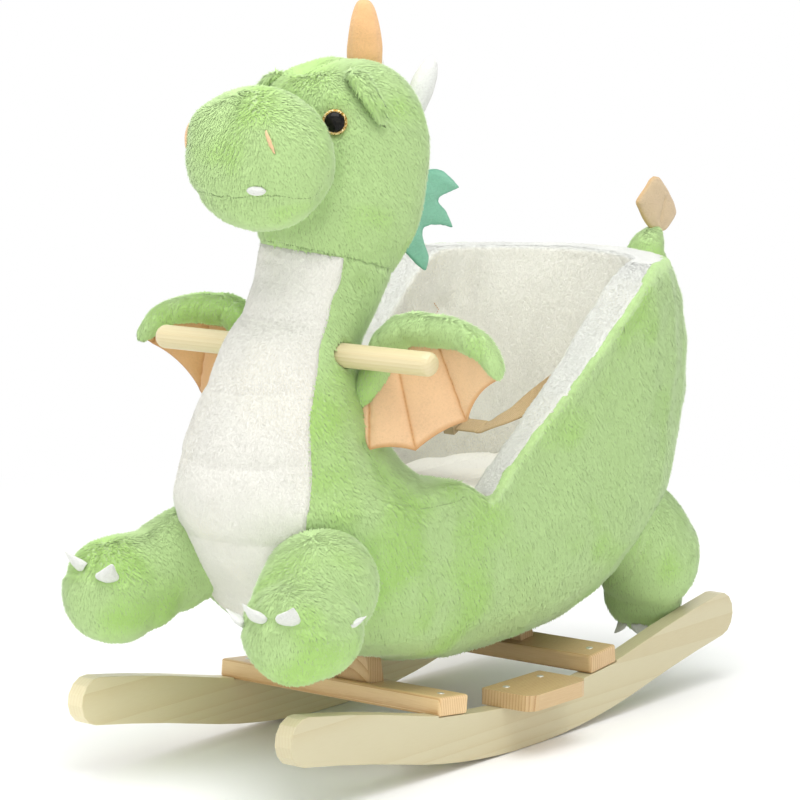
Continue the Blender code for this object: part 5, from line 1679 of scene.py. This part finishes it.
class DRAGON_OT_seat(Step, bpy.types.Operator):
    """Line the bucket seat, stuff its cushion and thread the lap belt."""
    bl_idname = "dragon.seat"
    bl_label = "Seat and Belt"

    def build(self, context):
        make_lining()
        make_cushion()
        make_belt()
        plastic = moulded("buckle plastic", (0.50, 0.38, 0.22))
        for name in ("buckle_socket", "buckle_tongue"):
            NODES[name].data.materials.clear()
            NODES[name].data.materials.append(plastic)


class DRAGON_OT_base(Step, bpy.types.Operator):
    """Give the boards their pine and drive the screws."""
    bl_idname = "dragon.base"
    bl_label = "Wooden Base"

    def build(self, context):
        make_wood(context.scene.dragon_wood)
        make_screws(dark_steel("screw steel"))


class DRAGON_OT_stage(Step, bpy.types.Operator):
    """Set the floor, the soft lights and the camera."""
    bl_idname = "dragon.stage"
    bl_label = "Stage"

    def build(self, context):
        make_stage(context.scene, context.scene.dragon_stage)


def floor_finish(stage):
    """Pale floor that keeps the shadow and turns to plain white further out."""
    material, tree, shader = new_finish("studio floor", 0.9, gloss=0.1,
                                        colour=rgba(tuple(stage.floor)))
    far = tree.fade(tree.vector("LENGTH", place(tree), output=1), 0.55, 1.5)
    seen = tree.add("ShaderNodeLightPath", output="Is Camera Ray")
    glow = tree.add("ShaderNodeEmission", {}, {0: (1, 1, 1, 1), 1: 1.0})
    both = tree.add("ShaderNodeMixShader", {}, {0: far * seen, 1: Wire(tree, shader.outputs[0]),
                                                2: glow})
    end = next(node for node in tree.tree.nodes if node.type == "OUTPUT_MATERIAL")
    tree.tree.links.new(both.socket, end.inputs[0])
    return material


LAMPS = (("key", 2.4, (-2.1, -2.4, 0.55)), ("fill", 2.6, (2.4, -2.0, 2.1)),
         ("overhead", 2.4, (0.45, -0.75, 3.0)))
LIT_POINT, SEEN_POINT = Vector((0, 0, 0.3)), Vector((0, -0.0414, 0.3304))
VIEW_AZIMUTH, VIEW_ELEVATION, VIEW_DISTANCE = math.radians(38.0), math.radians(8.31), 3.12


def make_stage(scene, stage):
    bm = bmesh.new()
    bmesh.ops.create_grid(bm, x_segments=1, y_segments=1, size=9.0)
    bmesh.ops.translate(bm, vec=(0, 0, -0.0004), verts=bm.verts)
    link("studio_floor", to_mesh("floor", bm, smooth=False), floor_finish(stage))

    world = bpy.data.worlds.new("soft studio")
    scene.world = world
    world.use_nodes = True
    tree = Tree(world.node_tree)
    seen = seen_by = tree.add("ShaderNodeLightPath", output="Is Camera Ray")
    for name in ("Is Glossy Ray", "Is Transmission Ray"):
        seen = tree.math("MAXIMUM", seen, seen_by.other(name))
    lit = tree.add("ShaderNodeBackground", {}, {0: (1, 1, 1, 1), 1: stage.sky})
    white = tree.add("ShaderNodeBackground", {}, {0: (1, 1, 1, 1), 1: 1.0})
    both = tree.add("ShaderNodeMixShader", {}, {0: seen, 1: lit, 2: white})
    tree.add("ShaderNodeOutputWorld", {}, {0: both})

    for name, size, spot in LAMPS:
        lamp = bpy.data.lights.new(name, "AREA")
        lamp.energy, lamp.size = getattr(stage, name), size
        holder = bpy.data.objects.new(name, lamp)
        scene.collection.objects.link(holder)
        holder.location = spot
        holder.rotation_euler = (LIT_POINT - Vector(spot)).to_track_quat("-Z", "Y").to_euler()

    right = Vector((math.cos(VIEW_AZIMUTH), math.sin(VIEW_AZIMUTH), 0))
    flat = Vector((-right.y, right.x, 0)) * math.cos(VIEW_ELEVATION)
    ahead = flat - Vector((0, 0, math.sin(VIEW_ELEVATION)))
    camera = bpy.data.cameras.new("photo view")
    camera.lens, camera.sensor_width = 150.48, 36.0
    camera.shift_x, camera.shift_y = 0.008, -0.01475
    holder = bpy.data.objects.new("photo view", camera)
    scene.collection.objects.link(holder)
    holder.matrix_world = (Matrix.Translation(SEEN_POINT - ahead * VIEW_DISTANCE)
                           @ Matrix((right, right.cross(ahead), -ahead)).transposed().to_4x4())
    scene.camera = holder
    scene.view_settings.view_transform = "Standard"


OPERATORS = (DRAGON_OT_base, DRAGON_OT_body, DRAGON_OT_face, DRAGON_OT_legs, DRAGON_OT_wings,
             DRAGON_OT_seat, DRAGON_OT_stage)
SETTINGS = (("dragon_plush", PlushSettings), ("dragon_wood", WoodSettings),
            ("dragon_stage", StageSettings))


class DRAGON_PT_rocker(bpy.types.Panel):
    """Sizes, colours and steps of the dragon rocker"""
    bl_idname = "DRAGON_PT_rocker"
    bl_label = "Dragon Rocker"
    bl_space_type = "VIEW_3D"
    bl_region_type = "UI"
    bl_category = "Dragon Rocker"

    def draw(self, context):
        for name, group in SETTINGS:
            column = self.layout.column(align=True)
            for key in group.__annotations__:
                column.prop(getattr(context.scene, name), key)
        for operator in OPERATORS:
            self.layout.operator(operator.bl_idname)


def register():
    for name, group in SETTINGS:
        bpy.utils.register_class(group)
        setattr(bpy.types.Scene, name, PointerProperty(type=group))
    for kind in (*OPERATORS, DRAGON_PT_rocker):
        bpy.utils.register_class(kind)


def unregister():
    for kind in (DRAGON_PT_rocker, *reversed(OPERATORS)):
        bpy.utils.unregister_class(kind)
    for name, group in reversed(SETTINGS):
        delattr(bpy.types.Scene, name)
        bpy.utils.unregister_class(group)


def main():
    register()
    for operator in OPERATORS:
        group, name = operator.bl_idname.split(".")
        getattr(getattr(bpy.ops, group), name)()


if __name__ == "__main__":
    main()
